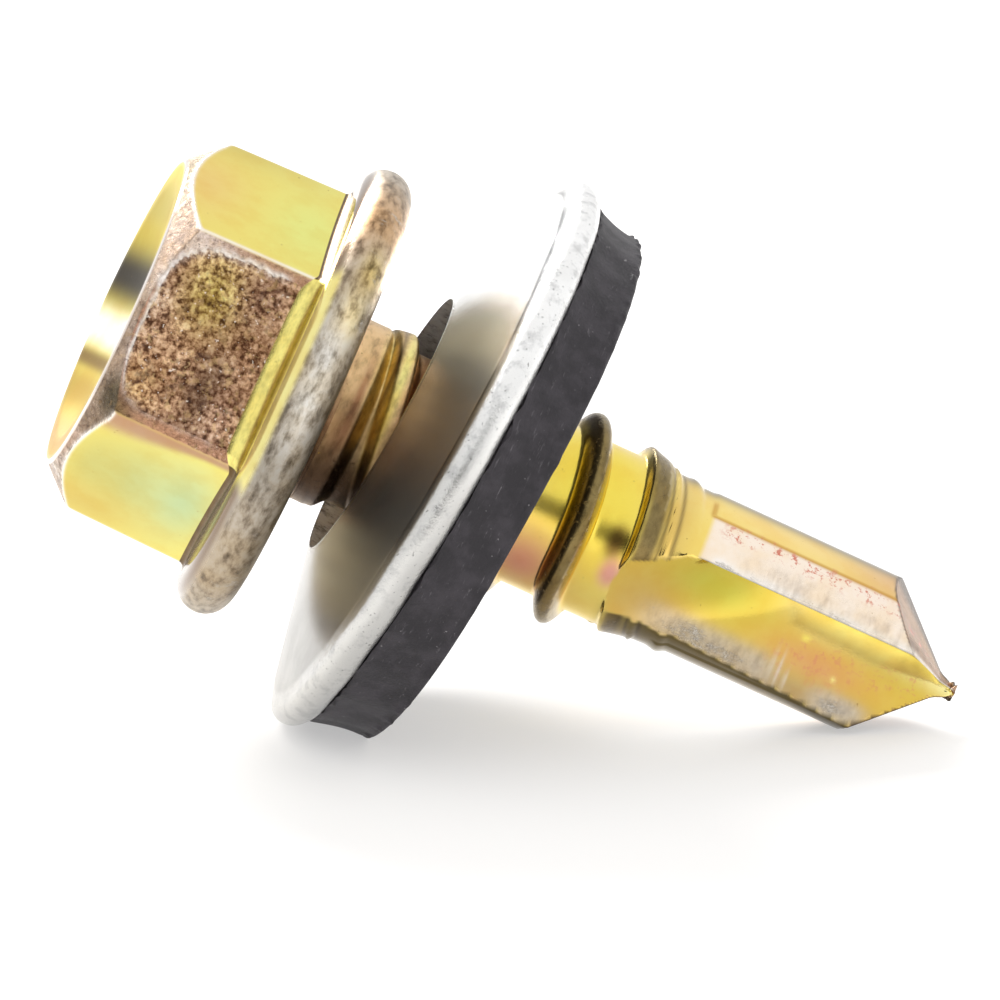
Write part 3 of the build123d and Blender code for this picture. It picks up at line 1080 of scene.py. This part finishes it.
        # White and not metal: the ring round the front patch, partly a rubbed edge and partly a
        # painted highlight, and a painted highlight on the flange's round on the hexagon's side,
        # away from its upper side.
        chalk_and_highlight = np.clip(1.1 * side * face * ring, 0, 1)
        painted_flange_highlight = 0.34 * flange * fade(x, -3.2, -1.8) * (1 - fade(z, -0.55, -0.30))
        dulled = np.where(flange, fade(z, -1.10, -0.95), 0.0)
        worn = np.where(flange, 0.10 + 0.16 * fade(z, -0.9, -0.6), 0.0)
        paint = {
            "tint": colour,
            "grain": np.maximum(thick, 0.42 * np.maximum(side * face, on_cone)),
            "mottle": dulled + under * 0.7 + on_cone * 0.5 + 0.45 * fillet,
            "worn": np.maximum(worn, 0.25 * np.clip(line, 0, 1)),
            "blush": np.zeros_like(z),
            "matt": 1.0 * on_top,
            "chalk_and_highlight": chalk_and_highlight + painted_flange_highlight,
        }
        lean = self.lifted * np.sin(a) * (1 - fade(z, -5.0, -4.1)) * (part <= Part.SIDE)
        return closed_skin("screw_head", REST.place(np.stack([x, y, z - lean], axis=-1)), paint)


# ---- shank

@dataclass
class Flute:
    """One of the two flutes pinched into the drill point, by the direction its floor faces."""

    facing: float
    web: float = 0.163
    slope: float = 0.10
    runout_z: float = 12.4
    runout_radius: float = 6.4
    skew: float = 1.95
    wall: float = -1.9
    tip: float = 15.8
    begins: float = 6.62
    undercut: float = 0.27
    undercut_reach: float = 0.42
    undercut_ends: tuple[float, float] = (14.9, 15.6)
    outmost: float = 3.2
    halvings: int = 26

    def floor(self, station: Field) -> Field:
        """Height of the floor over the web at the wall: a slope, then a circular run-out.

        Args:
            station: where to read it along the axis.

        Returns:
            Height at each station.
        """
        tilt = atan(self.slope)
        centre_z = self.runout_z + self.runout_radius * sin(tilt)
        centre_h = self.slope * (self.tip - self.runout_z) + self.runout_radius * cos(tilt)
        reach = (centre_z - station) / self.runout_radius
        rise = np.sqrt(np.maximum(1 - np.clip(reach, 0, 1) ** 2, 0))
        arc = np.where(reach >= 1, NOWHERE, centre_h - self.runout_radius * rise)
        return np.where(station > self.runout_z, self.slope * (self.tip - station), arc)

    def inside(self, b: Field) -> Field:
        """Whether an angle from the facing direction lies on the floor's side of the wall."""
        return (b >= radians(self.wall)) & (b < radians(90))

    def reach(self, angle: Field, z: Field) -> Field:
        """Radius at which a ray from the axis meets the floor, found by halving.

        On the ray the floor is met where r cos b equals the web plus the floor's height at
        the skewed station z + skew r sin b, plus the slope's share of that skew.

        Args:
            angle: turn of each point, in radians.
            z: station of each point.

        Returns:
            Radius at each point, or NOWHERE off the floor's side of the wall.
        """
        b = near_turn(angle, self.facing, 1)
        lift = self.web + 2.0 * (1 - fade(z, self.begins, self.begins + 0.2))
        low = np.zeros_like(z)
        high = np.full_like(z, self.outmost)
        for _ in range(self.halvings):
            middle = 0.5 * (low + high)
            skewed = self.skew * middle * np.sin(b)
            over = middle * np.cos(b) - self.floor(z + skewed) - self.slope * skewed - lift
            low = np.where(over < 0, middle, low)
            high = np.where(over < 0, high, middle)
        return np.where(self.inside(b), high, NOWHERE)

    def hollow(self, angle: Field, z: Field, r: Field, depth: Field) -> Field:
        """Shift that carries the floor in under the cutting edge.

        It is the undercut, in proportion to how deep the flute is there, times exp of minus
        the distance from the wall, along the direction a quarter turn from the one it faces.

        Args:
            angle: turn of each point, in radians.
            z: station of each point.
            r: radius of each point.
            depth: how far the flute's floor lies under the round body.

        Returns:
            Shift in X and Y at each point.
        """
        b = near_turn(angle, self.facing, 1)
        beyond = np.maximum(r * (np.sin(b) - sin(radians(self.wall))), 0)
        full = self.undercut * np.clip((2.0 - self.web - self.floor(z)) / 1.5, 0, 1.15)
        share = self.inside(b) * fade(depth, 0.0, 0.25) * (1 - fade(z, *self.undercut_ends))
        shift = -full * np.exp(-beyond / self.undercut_reach) * share
        side = radians(self.facing + 90)
        return shift[..., None] * [cos(side), sin(side)]


@dataclass
class Shank:
    """Neck, helical thread, roll marks, fluted drill body and four-facet point."""

    neck_radius: float = 2.20
    neck_end: float = 0.75
    root_radius: float = 1.95
    crest_radius: float = 2.50
    crest_flat: float = 0.17
    flank: float = 20.0
    pitch: float = 1.60
    helix_start: float = 0.35
    droop: float = 0.20
    start: float = 0.28
    full_thread_end: float = 8.0
    step_z: float = 8.60
    drill_z: float = 9.0
    point_z: float = 13.7
    burr_z: float = 15.69
    tip: float = 15.8
    burr: float = 0.19
    bent: float = 0.15
    bent_ends: tuple[float, float] = (15.45, 15.62)
    facet_side: float = 1.07
    facet_lip: float = 0.50
    strip_raised: float = 0.03
    strip_turn: float = -170.0
    strip_edge: float = -136.0
    wall_turn: float = -101.9
    edge_turn: float = -104.5
    heel_turn: float = -16.0
    fin_lead: float = 0.44
    thread_rows: int = 196
    envelope_z: tuple[float, ...] = (0.45, 1.05, 2.6, 6.60, 7.50, 8.10, 8.60, 8.75)
    envelope_r: tuple[float, ...] = (2.18, 2.28, 2.49, 2.50, 2.20, 2.02, 1.90, 1.40)
    fin_z: tuple[float, ...] = (7.6, 7.85, 8.1, 8.6, 8.7)
    fin_r: tuple[float, ...] = (1.7, 2.05, 2.06, 1.98, 1.7)
    flutes: tuple[Flute, Flute] = field(default_factory=lambda: (Flute(-100.0), Flute(80.0)))

    def columns(self) -> Field:
        """Angles of the columns, with a doubled one at each flute's wall.

        Returns:
            Angles in radians, once round.
        """
        first, second = np.radians([f.facing + f.wall for f in self.flutes])
        sliver = radians(0.02)
        spans = ((first, second), (second, first + FULL_TURN))
        return np.concatenate([np.linspace(a + sliver, b - sliver, 148) for a, b in spans])

    def stations(self) -> Field:
        """Station of each row, close together along the thread and the point.

        Returns:
            Stations from the neck to the tip.
        """
        return np.concatenate([
            np.linspace(self.start, self.drill_z, self.thread_rows),
            np.linspace(self.drill_z, self.point_z, 84)[1:],
            np.linspace(self.point_z, self.tip - 0.3, 30)[1:],
            np.linspace(self.tip - 0.3, self.tip, 12)[1:],
        ])

    def helix(self, angle: Field, z: Field, lead: float = 0.0) -> Field:
        """Distance along the axis from the nearest turn of a helix.

        Args:
            angle: turn of each point, in radians.
            z: station of each point.
            lead: station at which the helix starts, past that of the thread.

        Returns:
            Signed distance at each point.
        """
        line = self.helix_start + lead + self.pitch * (angle % FULL_TURN) / FULL_TURN
        line = line - self.droop * around(angle, -35, 48, 2, 1) * fade(z, 3.5, 5.0)
        return (z - line + self.pitch / 2) % self.pitch - self.pitch / 2

    def ridge(self, off: Field, flat: float, crest: float, slope: float) -> Field:
        """Radius of a helical ridge: the crest less the distance past its flat, times the slope."""
        return crest - slope * soft_max(np.abs(off) - flat, np.zeros_like(off), 0.10)

    def body(self, angle: Field, z: Field) -> Field:
        """Radius of the neck, core and thread before the flutes and the point are cut.

        The neck narrows to the core over a smooth step, and a winding step with a raised lip
        narrows it again at the drill body. The thread is a helical ridge held under an
        envelope, and a lower ridge is the fin. The surface is the largest of the three,
        rounded off where they meet.

        Args:
            angle: turn of each point, in radians.
            z: station of each point.

        Returns:
            Radius at each point.
        """
        narrowed = fade(z, self.neck_end, self.neck_end + 0.32)
        neck = self.neck_radius + (self.root_radius - self.neck_radius) * narrowed
        late = z - self.step_z - self.pitch * (((angle - pi) / FULL_TURN + 0.5) % 1.0 - 0.5)
        core = neck - 0.07 * fade(late, -0.06, 0.12) + 0.025 * bell(late, -0.13, 0.08)
        sunk = around(angle, 0, 50, 2, 1) * fade(z, 7.5, 9.5)
        core = core - 0.01 * fade(z, self.drill_z, 15.0) - 0.05 * sunk
        strip = sector(angle, self.strip_turn, 33, 35.2)
        core = core + self.strip_raised * strip * fade(z, self.drill_z, self.drill_z + 0.16)
        steep = 1 / tan(radians(self.flank))
        thread = self.ridge(self.helix(angle, z), self.crest_flat, self.crest_radius, steep)
        thread = soft_min(thread, np.interp(z, self.envelope_z, self.envelope_r), 0.05)
        fin = self.ridge(self.helix(angle, z, self.fin_lead), 0.02, 2.10, 1.5)
        fin = np.where(z > 7.4, np.minimum(fin, np.interp(z, self.fin_z, self.fin_r)), 0.0)
        whole = np.where(z > 8.9, core, soft_max(core, thread, 0.06))
        return soft_max(whole, fin, 0.03) - 0.0002 * (z > self.drill_z)

    def point(self, angle: Field, z: Field) -> Field:
        """Radius of the ground point: the drop from the tip over the steeper facet's fall.

        Args:
            angle: turn of each point, in radians.
            z: station of each point.

        Returns:
            Radius at each point.
        """
        side = self.facet_side * np.cos(angle)
        steep = np.maximum(np.abs(side + self.facet_lip * np.sin(angle)), np.abs(side))
        return (self.tip - z) / steep

    def build(self) -> Piece:
        """Make the painted mesh.

        Returns:
            The shank's object.
        """
        angle, z = np.meshgrid(self.columns(), self.stations())
        outer = self.body(angle, z)
        facet = self.point(angle, z)
        r = np.maximum(soft_min(outer, facet, 0.012), 0.0)
        cut = np.minimum(*(flute.reach(angle, z) for flute in self.flutes))
        depth = np.where(cut < r, r - cut, 0.0)
        wall_near = np.minimum(np.abs(near_turn(angle, self.wall_turn)), radians(12)) / radians(12)
        r = soft_min(r, np.minimum(cut, 4.0), 0.002 + 0.05 * wall_near)
        lump = np.sqrt(np.maximum(self.burr ** 2 - (z - self.burr_z) ** 2, 0.0))
        r = np.maximum(r, lump * (1 + 0.25 * np.sin(5 * angle + 40 * z)))
        r[-1] = 0.0
        paint = self.painted(angle, z, r, depth, outer - facet)
        flat = np.stack([r * np.cos(angle), r * np.sin(angle)], axis=-1)
        flat = flat + sum(flute.hollow(angle, z, r, depth) for flute in self.flutes)
        z = z + self.bent * fade(z, *self.bent_ends)
        points = np.concatenate([flat, z[..., None]], axis=-1)
        grid = np.concatenate([points[:1] * [0, 0, 1], points])
        paint = {key: np.concatenate([v[:1], v]) for key, v in paint.items()}
        return closed_skin("screw_shank", REST.place(grid), paint, 34.0, self.thread_rows)

    def land_film(self, angle: Field, z: Field) -> Field:
        """Colours of the neck, core and lands, with painted shade and painted reflections among
        them.

        Args:
            angle: turn of each point, in radians.
            z: station of each point.

        Returns:
            Colours in rows of 4.
        """
        neck = film((
            Zone((244, 222, 130), -1.2, 0.92, 2.0, 0.15, 0.85),
            Zone((255, 250, 160), -1.0, 1.34, 2.0, 0.14, 0.9),
            Zone((66, 46, 34), -1.2, 1.14, 1.6, 0.05, 0.85),
            Zone((196, 128, 90), -0.9, 1.85, 1.6, 0.24, 0.9),
            Zone((150, 84, 58), -0.4, 0.62, 1.0, 0.10, 0.7),
            Zone((152, 112, 88), 0.35, 0.62, 0.75, 0.42, 0.8),
            Zone((236, 200, 96), -0.2, 1.30, 0.55, 0.14, 0.8),
            # Painted shade: the neck's lower half (+X) is darker.
            Zone((54, 36, 30), 1.55, 1.0, 1.45, 3.0, 0.95, 4.0),
        ), (240, 206, 156), angle, z, self.root_radius)
        colour = film((
            Zone((242, 220, 84), -0.6, 6.4, 2.2, 1.6, 0.85, 4.0),
            # Painted reflections in the roots: pink on the lower side, partly the film's hue and
            # partly the floor mirrored; a dark brown patch where the flag is mirrored, with a pink
            # one beside it as on the lower side.
            Zone((214, 142, 122), 1.35, 5.5, 0.95, 1.0, 0.9),
            Zone((88, 52, 38), 0.1, 7.25, 0.42, 0.26, 0.85, 3.0),
            Zone((226, 156, 158), 0.78, 7.42, 0.38, 0.26, 0.85, 3.0),
            Zone((216, 184, 112), -1.0, 8.3, 3.0, 0.45, 0.7),
            Zone((250, 222, 152), -1.75, 11.2, 0.9, 2.6, 0.85),
            Zone((226, 182, 150), -1.75, 13.6, 0.9, 1.2, 0.7),
        ), (246, 222, 124), angle, z, self.root_radius)
        colour = blend(colour, neck, 1 - fade(z, 2.6, 3.4))
        # Painted highlight: a near-white band on the land between the strip's edge and the flute's
        # wall, where the overhead light is mirrored.
        off = near_turn(angle, self.strip_edge)
        painted_land_highlight = span(off, 0.0, radians(1.2), radians(34), radians(35))
        colour = lay(colour, (253, 240, 232), 0.85 * painted_land_highlight * fade(z, 9.05, 9.2))
        beside = span(-off, 0, radians(2), radians(12), radians(20))
        line = bell(off, radians(-0.4), radians(1.3)) * fade(z, self.drill_z, self.drill_z + 0.1)
        line = np.maximum(line, bell(z, 9.08, 0.06) * beside)
        return lay(colour, (198, 146, 66), 0.8 * line)

    def floor_film(self, across: Field, z: Field) -> Field:
        """Colours of the flutes' floors.

        Args:
            across: distance of each point across the screw, in millimetres.
            z: station of each point.

        Returns:
            Colours in rows of 4.
        """
        return film((
            Zone((208, 206, 84), 0.1, 9.8, 0.55, 1.3, 0.8),
            Zone((204, 186, 84), 0.0, 14.4, 0.5, 1.2, 0.8),
            Zone((226, 170, 116), 0.75, 12.7, 0.42, 1.3, 0.85),
            Zone((210, 176, 108), 1.2, 8.4, 1.0, 1.0, 0.8),
            Zone((164, 142, 122), 1.55, 12.0, 0.45, 2.6, 0.7),
            Zone((96, 84, 76), 1.35, 10.3, 0.09, 0.10, 0.9),
            Zone((250, 232, 110), 0.35, 12.25, 0.07, 0.10, 1.0),
            Zone((250, 236, 150), 0.90, 13.2, 0.06, 0.06, 1.0),
            Zone((232, 222, 206), 1.10, 11.75, 0.32, 0.035, 0.75),
            Zone((232, 222, 206), 1.18, 11.95, 0.34, 0.035, 0.75),
            Zone((232, 222, 206), 1.32, 12.15, 0.22, 0.035, 0.65),
            Zone((212, 206, 198), 1.42, 13.5, 0.22, 0.55, 0.8),
        ), (228, 196, 86), across, z, 0)

    def painted(self, angle: Field, z: Field, r: Field, depth: Field, past: Field) -> Paint:
        """Paint the shank.

        Args:
            angle: turn of each point.
            z: station of each point.
            r: finished radius.
            depth: how far the flute's floor lies under the round body.
            past: how far the round body stands outside the ground point.

        Returns:
            The painted fields by name.
        """
        floor = fade(depth, 0.0, 0.05)
        land, whole = 1 - floor, floor < 0.5
        across = -np.sign(np.sin(angle)) * r * np.cos(angle)
        off = self.helix(angle, z)
        top = bell(off, 0.0, 0.19 + 0.05 * (z > 7.2), 6) * span(z, 5.5, 5.7, 8.1, 8.4)
        high = fade(r, 2.06, 2.22) * (z < self.full_thread_end) * fade(z, 3.0, 3.8)
        crest = np.maximum(high, top) * land
        heel_side = fade(r, 2.02, 2.12) * (off > 0.16) * fade(z, 3.2, 4.0)
        heel_side = heel_side * (z < self.full_thread_end)
        step_one, step_two = (bell(self.helix(angle, z, lead), 0.0, 0.05) for lead in (0.30, 0.60))
        rings = (z > 7.5) * (z < self.drill_z)
        # Painted shade and light on the thread: the crest and its flank on the head's side are
        # painted dark olive, the flank on the tip's side light beige; the one mirrors dark, the
        # other light.
        colour = lay(self.land_film(angle, z), (132, 116, 80), 0.96 * crest)
        colour = lay(colour, (196, 182, 148), 0.8 * heel_side)
        colour = lay(colour, (110, 96, 60), 0.8 * step_one * rings)
        colour = lay(colour, (120, 104, 70), 0.7 * step_two * rings)
        colour = blend(colour, self.floor_film(across, z), floor)
        from_wall = near_turn(angle, self.wall_turn)
        # Painted light: the floor next to the flute's wall is painted pale yellow, lifting the
        # strip that the wall shades.
        beside = floor * bell(from_wall * r, 0.0, 0.35) * fade(z, 11.0, 12.5)
        colour = lay(colour, (255, 244, 170), 0.9 * beside)
        # Painted shade: the flute's wall face is painted dark blue-grey.
        wall = bell(from_wall, 0.0, radians(0.7)) * whole
        wall = wall * fade(z, self.drill_z, self.drill_z + 0.4)
        colour = lay(colour, (72, 84, 84), 0.9 * wall)
        facet = fade(past, 0.0, 0.03) * whole
        colour = lay(colour, (162, 128, 98), 0.95 * facet)
        colour = lay(colour, (70, 58, 56), 0.85 * bell(past, 0.01, 0.025) * whole)
        band = bell(across - 0.03 * (z - self.drill_z), 1.24, 0.36, 3)
        band = band * span(z, 8.1, 9.2, 11.4, 12.2)
        low = bell(across, 1.42, 0.26, 3) * bell(z, 13.5, 0.7, 4)
        rubbed = floor * np.maximum(band, low)
        colour = lay(colour, (206, 194, 176), 0.8 * rubbed)
        heel = land * around(angle, self.heel_turn, 36, 6) * fade(z, 7.4, 8.6)
        colour = lay(colour, (72, 64, 56), 0.92 * heel)
        edge = land * around(angle, self.edge_turn, 3.5) * fade(z, 9.1, 9.6)
        colour = lay(colour, (252, 250, 248), 0.7 * edge)
        flaked = land * around(angle, -110, 10, 4) * fade(z, 9.6, 11.0)
        neck = bell(z, 1.0, 1.0) * fade(near_turn(angle, -70), radians(-14), radians(8))
        dulled = np.maximum(0.5 * crest, 0.4 * rubbed) + 0.35 * facet + 0.4 * flaked
        specked = land * around(angle, -130, 7, 4) * fade(z, 9.2, 9.8)
        return {
            "tint": colour,
            "grain": np.where(z > 8.2, 0.0, 0.30 * crest + 0.34 * neck),
            "mottle": np.maximum(dulled, 0.6 * (1 - fade(z, 1.6, 2.2))),
            "worn": np.maximum(0.42 * rubbed, 0.30 * edge),
            "blush": specked + 0.4 * floor * around(angle, -44, 14, 4) * fade(z, 11.0, 12.5),
            "matt": 0.28 * (1 - crest) * (1 - fade(z, 8.0, 9.0)),
            "chalk_and_highlight": 0.3 * flaked,
        }


# ---- washer

@dataclass
class MetalDisc:
    """Dished disc with a punched hole and a rolled outer edge."""

    hole: float = 3.25
    rim: float = 7.0
    sheet: float = 0.80
    dish: float = 16.5
    upper_round: float = 0.37
    lower_round: float = 0.40
    lip_height: float = 0.003
    wander_out: float = 0.018
    wander_up: float = 0.008
    upper_rows: int = 90
    columns: int = 360

    def profile(self) -> tuple[Field, Field, Field, Field]:
        """Closed section of the disc.

        The upper line rises with the dish from the hole to the rim; the outer corners are
        quarter-like arcs tangent to the slanted faces and the upright edge.

        Returns:
            Radius and z of each point, and how much it is rim and sheared wall.
        """
        tilt = radians(self.dish)
        rise = tan(tilt)
        drop = self.sheet / cos(tilt)
        high = (self.rim - self.hole) * rise
        face = np.linspace(self.hole + 0.03, self.rim - self.upper_round * 1.3, self.upper_rows)
        lip = self.lip_height * bell(face, self.hole + 0.04, 0.035)
        upper = np.linspace(-pi / 2 + tilt, 0, 16)
        upper_z = high + self.upper_round * (1 / cos(tilt) - rise)
        lower = np.linspace(0, pi / 2 + tilt, 16)
        lower_z = high + drop - self.lower_round * (1 / cos(tilt) + rise)
        back = np.linspace(self.rim - self.lower_round * 1.4, self.hole + 0.06, 40)
        wall = np.linspace(drop - 0.03, 0.02, 12)
        r = np.concatenate([
            face,
            self.rim - self.upper_round + self.upper_round * np.cos(upper),
            self.rim - self.lower_round + self.lower_round * np.cos(lower),
            back,
            np.full_like(wall, self.hole),
            [self.hole - 0.02, self.hole],
        ])
        z = np.concatenate([
            (face - self.hole) * rise - lip,
            upper_z + self.upper_round * np.sin(upper),
            lower_z + self.lower_round * np.sin(lower),
            (back - self.hole) * rise + drop,
            wall,
            [-0.002, -0.001],
        ])
        outer = fade(r, self.rim - 0.62, self.rim - 0.40)
        rim = np.maximum(outer, 1 - fade(r, self.hole + 0.04, self.hole + 0.11))
        shear = ((r < self.hole + 0.02) & (z > 0.01)).astype(float)
        return r[:, None], z[:, None], rim[:, None], shear[:, None]

    def build(self) -> Piece:
        """Make the painted mesh: the section carried round the axis, joined end to end.

        Returns:
            The disc's object.
        """
        r, z, rim, shear = self.profile()
        angle = np.linspace(0, FULL_TURN, self.columns, endpoint=False)
        worn = rim * (r > (self.hole + self.rim) / 2)
        r = r + self.wander_out * worn * wander(angle, 5, 12, 2)
        z = z + self.wander_up * worn * wander(angle, 9, 10, 2)
        points = np.stack([r * np.cos(angle), r * np.sin(angle), z], axis=-1)
        on_face = np.arange(len(r))[:, None] < self.upper_rows
        paint = {
            "rim": np.broadcast_to(rim, r.shape),
            "shear": np.broadcast_to(shear, r.shape),
            "line": bell(r, self.rim - 0.47, 0.04) * on_face * around(angle, -135, 70, 4, 1),
            # Painted shade: how much the hole's wall is darkened, round its far side.
            "shade": np.broadcast_to(around(angle, 92, 38, 4, 1), r.shape),
        }
        return ring_skin("washer_disc", REST.place(COCK.place(points)), paint)


@dataclass
class RubberRing:
    """Moulded ring under the disc, with torn flash at its edges and a flat where it bears."""

    bore: float = 2.56
    hole: float = 3.25
    top_radius: float = 6.66
    middle_radius: float = 6.50
    foot_radius: float = 6.47
    face: float = 3.13
    edge: float = 0.12
    dish: float = 16.5
    sheet: float = 0.80
    puff: float = 0.0575
    lean: float = 0.095
    bow: float = -0.0325
    bulge: float = -0.03
    tuck: float = 0.13
    soft_from: float = 1.9
    uneven: float = 0.016
    torn_out: float = 0.035
    torn_down: float = 0.03
    side_rows: int = 40
    columns: int = 420

    def build(self) -> Piece:
        """Make the mesh: the section carried round the axis, joined end to end.

        The side is a straight line from top to foot less a waist of sag times 4 t (1 - t), the
        foot a quarter circle and the face flat. The bore is upright, and the upper side follows
        the underside of the disc. Sums of sines tear the edges and sway the face.

        Returns:
            The ring's object.
        """
        rise = tan(radians(self.dish))
        drop = self.sheet / cos(radians(self.dish))
        top = drop + (self.top_radius - self.hole) * rise
        t = np.linspace(0, 1, self.side_rows)
        sag = (self.top_radius + self.foot_radius) / 2 - self.middle_radius
        side_r = self.top_radius + (self.foot_radius - self.top_radius) * t - sag * 4 * t * (1 - t)
        side_z = top + (self.face - self.edge - top) * t
        a = np.linspace(0, pi / 2, 9)[1:]
        foot_r = self.foot_radius - self.edge + self.edge * np.cos(a)
        foot_z = self.face - self.edge + self.edge * np.sin(a)
        flat_r = np.linspace(self.foot_radius - self.edge, self.bore + 0.05, 40)[1:]
        bore_z = np.linspace(self.face - 0.05, drop + 0.02, 14)
        slope_r = np.linspace(self.hole, self.top_radius - 0.02, 30)[1:]
        under_r = np.concatenate([np.linspace(self.bore, self.hole, 6), slope_r])
        under_z = drop + np.maximum(under_r - self.hole, 0) * rise
        r = np.concatenate([side_r, foot_r, flat_r, np.full_like(bore_z, self.bore), under_r])
        z = np.concatenate([side_z, foot_z, np.full_like(flat_r, self.face), bore_z, under_z])
        fading = np.linspace(1, 0, len(foot_r))
        hidden = np.zeros(len(r) - len(t) - len(foot_r))
        on_side = np.concatenate([np.ones(len(t)), fading, hidden])[:, None]
        edges = bell(t, 0.0, 0.06) + bell(t, 1.0, 0.05)
        lip = np.concatenate([edges, fading, hidden])[:, None]
        r, z = r[:, None], z[:, None]
        low = fade(z, self.soft_from, self.face)
        angle = np.linspace(0, FULL_TURN, self.columns, endpoint=False)
        torn = np.clip(wander(angle, 21, 60, 7), 0.2, 2.2)
        r = r - self.tuck * low * on_side * (1 + np.cos(angle)) / 2
        r = r + self.uneven * on_side * wander(angle, 3, 20, 2)
        r = r + self.torn_out * lip * (torn - 0.5)
        waves = self.lean * np.cos(angle) + self.bow * np.cos(2 * angle)
        waves = waves + self.bulge * np.cos(4 * angle)
        z = z + self.torn_down * lip * wander(angle, 33, 40, 5) + low * (self.puff + waves)
        points = np.stack([r * np.cos(angle), r * np.sin(angle), z], axis=-1)
        grid = REST.place(COCK.place(points))
        grid[..., 2] = np.maximum(grid[..., 2], 0.0)
        return ring_skin("washer_rubber", grid, {})


# ---- stage

def aimed(thing: Piece, place: tuple, aim: tuple = (0, 0, 0.006)) -> None:
    """Put an object at a place with its Z axis pointing away from an aim.

    Args:
        thing: object to put.
        place: where it goes, in metres.
        aim: point that it faces, in metres.
    """
    way = Vector(place) - Vector(aim)
    facing = way.to_track_quat("Z", "Y").to_matrix().to_4x4()
    thing.matrix_world = Matrix.Translation(place) @ facing


def sheet(name: str, wide: float, high: float, shade: Shade) -> Piece:
    """Matt rectangle for what surrounds the part, linked to the scene.

    Args:
        name: name of the object and its material.
        wide: size along X, in metres.
        high: size along Y, in metres.
        shade: its colour.

    Returns:
        The linked object.
    """
    x, y = wide / 2, high / 2
    mesh = bpy.data.meshes.new(name)
    mesh.from_pydata([(-x, -y, 0), (x, -y, 0), (x, y, 0), (-x, y, 0)], [], [(0, 1, 2, 3)])
    material = bpy.data.materials.new(name)
    material.use_nodes = True
    inputs = material.node_tree.nodes["Principled BSDF"].inputs
    inputs["Base Color"].default_value = linear(*shade)
    inputs["Roughness"].default_value = 0.9
    mesh.materials.append(material)
    board = bpy.data.objects.new(name, mesh)
    bpy.context.scene.collection.objects.link(board)
    return board


@dataclass
class Studio:
    """Pale floor, white surroundings, soft overhead light and a dark flag round the camera."""

    world: float = 1.0
    floor_size: float = 6.0
    floor_shade: Shade = (202, 200, 198)
    backlight: float = 0.44
    lamp_place: tuple[float, float, float] = (-0.13, 0.29, 0.23)
    lamp_size: float = 0.16
    lamp_power: float = 1.6
    flag_place: tuple[float, float, float] = (-0.005, -0.34, 0.068)
    flag_size: tuple[float, float] = (0.21, 0.16)
    flag_shade: Shade = (8, 7, 8)

    def lamp(self) -> None:
        """Set the soft square light behind and above the part."""
        light = bpy.data.lights.new("overhead", "AREA")
        light.shape = "RECTANGLE"
        light.size = light.size_y = self.lamp_size
        light.energy = self.lamp_power
        holder = bpy.data.objects.new("overhead", light)
        aimed(holder, self.lamp_place)
        bpy.context.scene.collection.objects.link(holder)

    def flag(self) -> None:
        """Set the dark card that is seen only in what shines."""
        board = sheet("flag", *self.flag_size, self.flag_shade)
        aimed(board, self.flag_place)
        board.visible_camera = False
        board.visible_shadow = False
        board.visible_diffuse = False

    def floor(self) -> None:
        """Set the pale floor, which glows a little."""
        floor = sheet("floor", self.floor_size, self.floor_size, self.floor_shade)
        glow = floor.data.materials[0].node_tree.nodes["Principled BSDF"].inputs
        glow["Emission Color"].default_value = (1, 1, 1, 1)
        glow["Emission Strength"].default_value = self.backlight

    def build(self) -> None:
        """Set the floor, the world, the light and the flag."""
        self.floor()
        world = bpy.data.worlds.new("surroundings")
        world.use_nodes = True
        sky = world.node_tree.nodes["Background"].inputs
        sky["Color"].default_value = (1, 1, 1, 1)
        sky["Strength"].default_value = self.world
        bpy.context.scene.world = world
        self.lamp()
        self.flag()
        bpy.context.scene.view_settings.view_transform = "Standard"


@dataclass
class Viewpoint:
    """Long lens a little above the part."""

    lens: float = 277.96
    sensor: float = 36.0
    reach: tuple[float, float] = (0.01, 10)
    place: tuple = (
        (0.999925, -0.011988, -0.002433, -0.00044381),
        (0.000177, 0.213044, -0.977043, -0.17097085),
        (0.012231, 0.976969, 0.21303, 0.04244247),
        (0, 0, 0, 1),
    )

    def build(self) -> None:
        """Create the camera and make it the scene's."""
        data = bpy.data.cameras.new("camera")
        data.lens, data.sensor_width = self.lens, self.sensor
        data.clip_start, data.clip_end = self.reach
        eye = bpy.data.objects.new("camera", data)
        eye.matrix_world = Matrix(self.place)
        bpy.context.scene.collection.objects.link(eye)
        bpy.context.scene.camera = eye


# ---- assembly

def dress(piece: Piece, finish: bpy.types.Material, body: str, node: str) -> None:
    """Give a piece its finish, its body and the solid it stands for.

    Args:
        piece: object to dress.
        finish: its material.
        body: body that it rides on.
        node: solid that it stands for.
    """
    piece.data.materials.append(finish)
    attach(piece, body)
    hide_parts(node)
    LOG.info("%s: %d points, rides on %s", piece.name, len(piece.data.vertices), body)


def main() -> None:
    """Build every piece in order, then the stage."""
    logging.basicConfig(level=logging.INFO, format="%(name)s %(message)s")
    yellow = YellowZinc().material("yellow_zinc")
    bare = BareZinc().material("bare_zinc")
    black = SealRubber().material("black_rubber")
    dress(Head().build(), yellow, "screw", "screw")
    dress(Shank().build(), yellow, "screw", "screw")
    dress(MetalDisc().build(), bare, "sealing_washer", "metal_disc")
    dress(RubberRing().build(), black, "sealing_washer", "rubber_ring")
    Studio().build()
    Viewpoint().build()


if __name__ == "__main__":
    main()
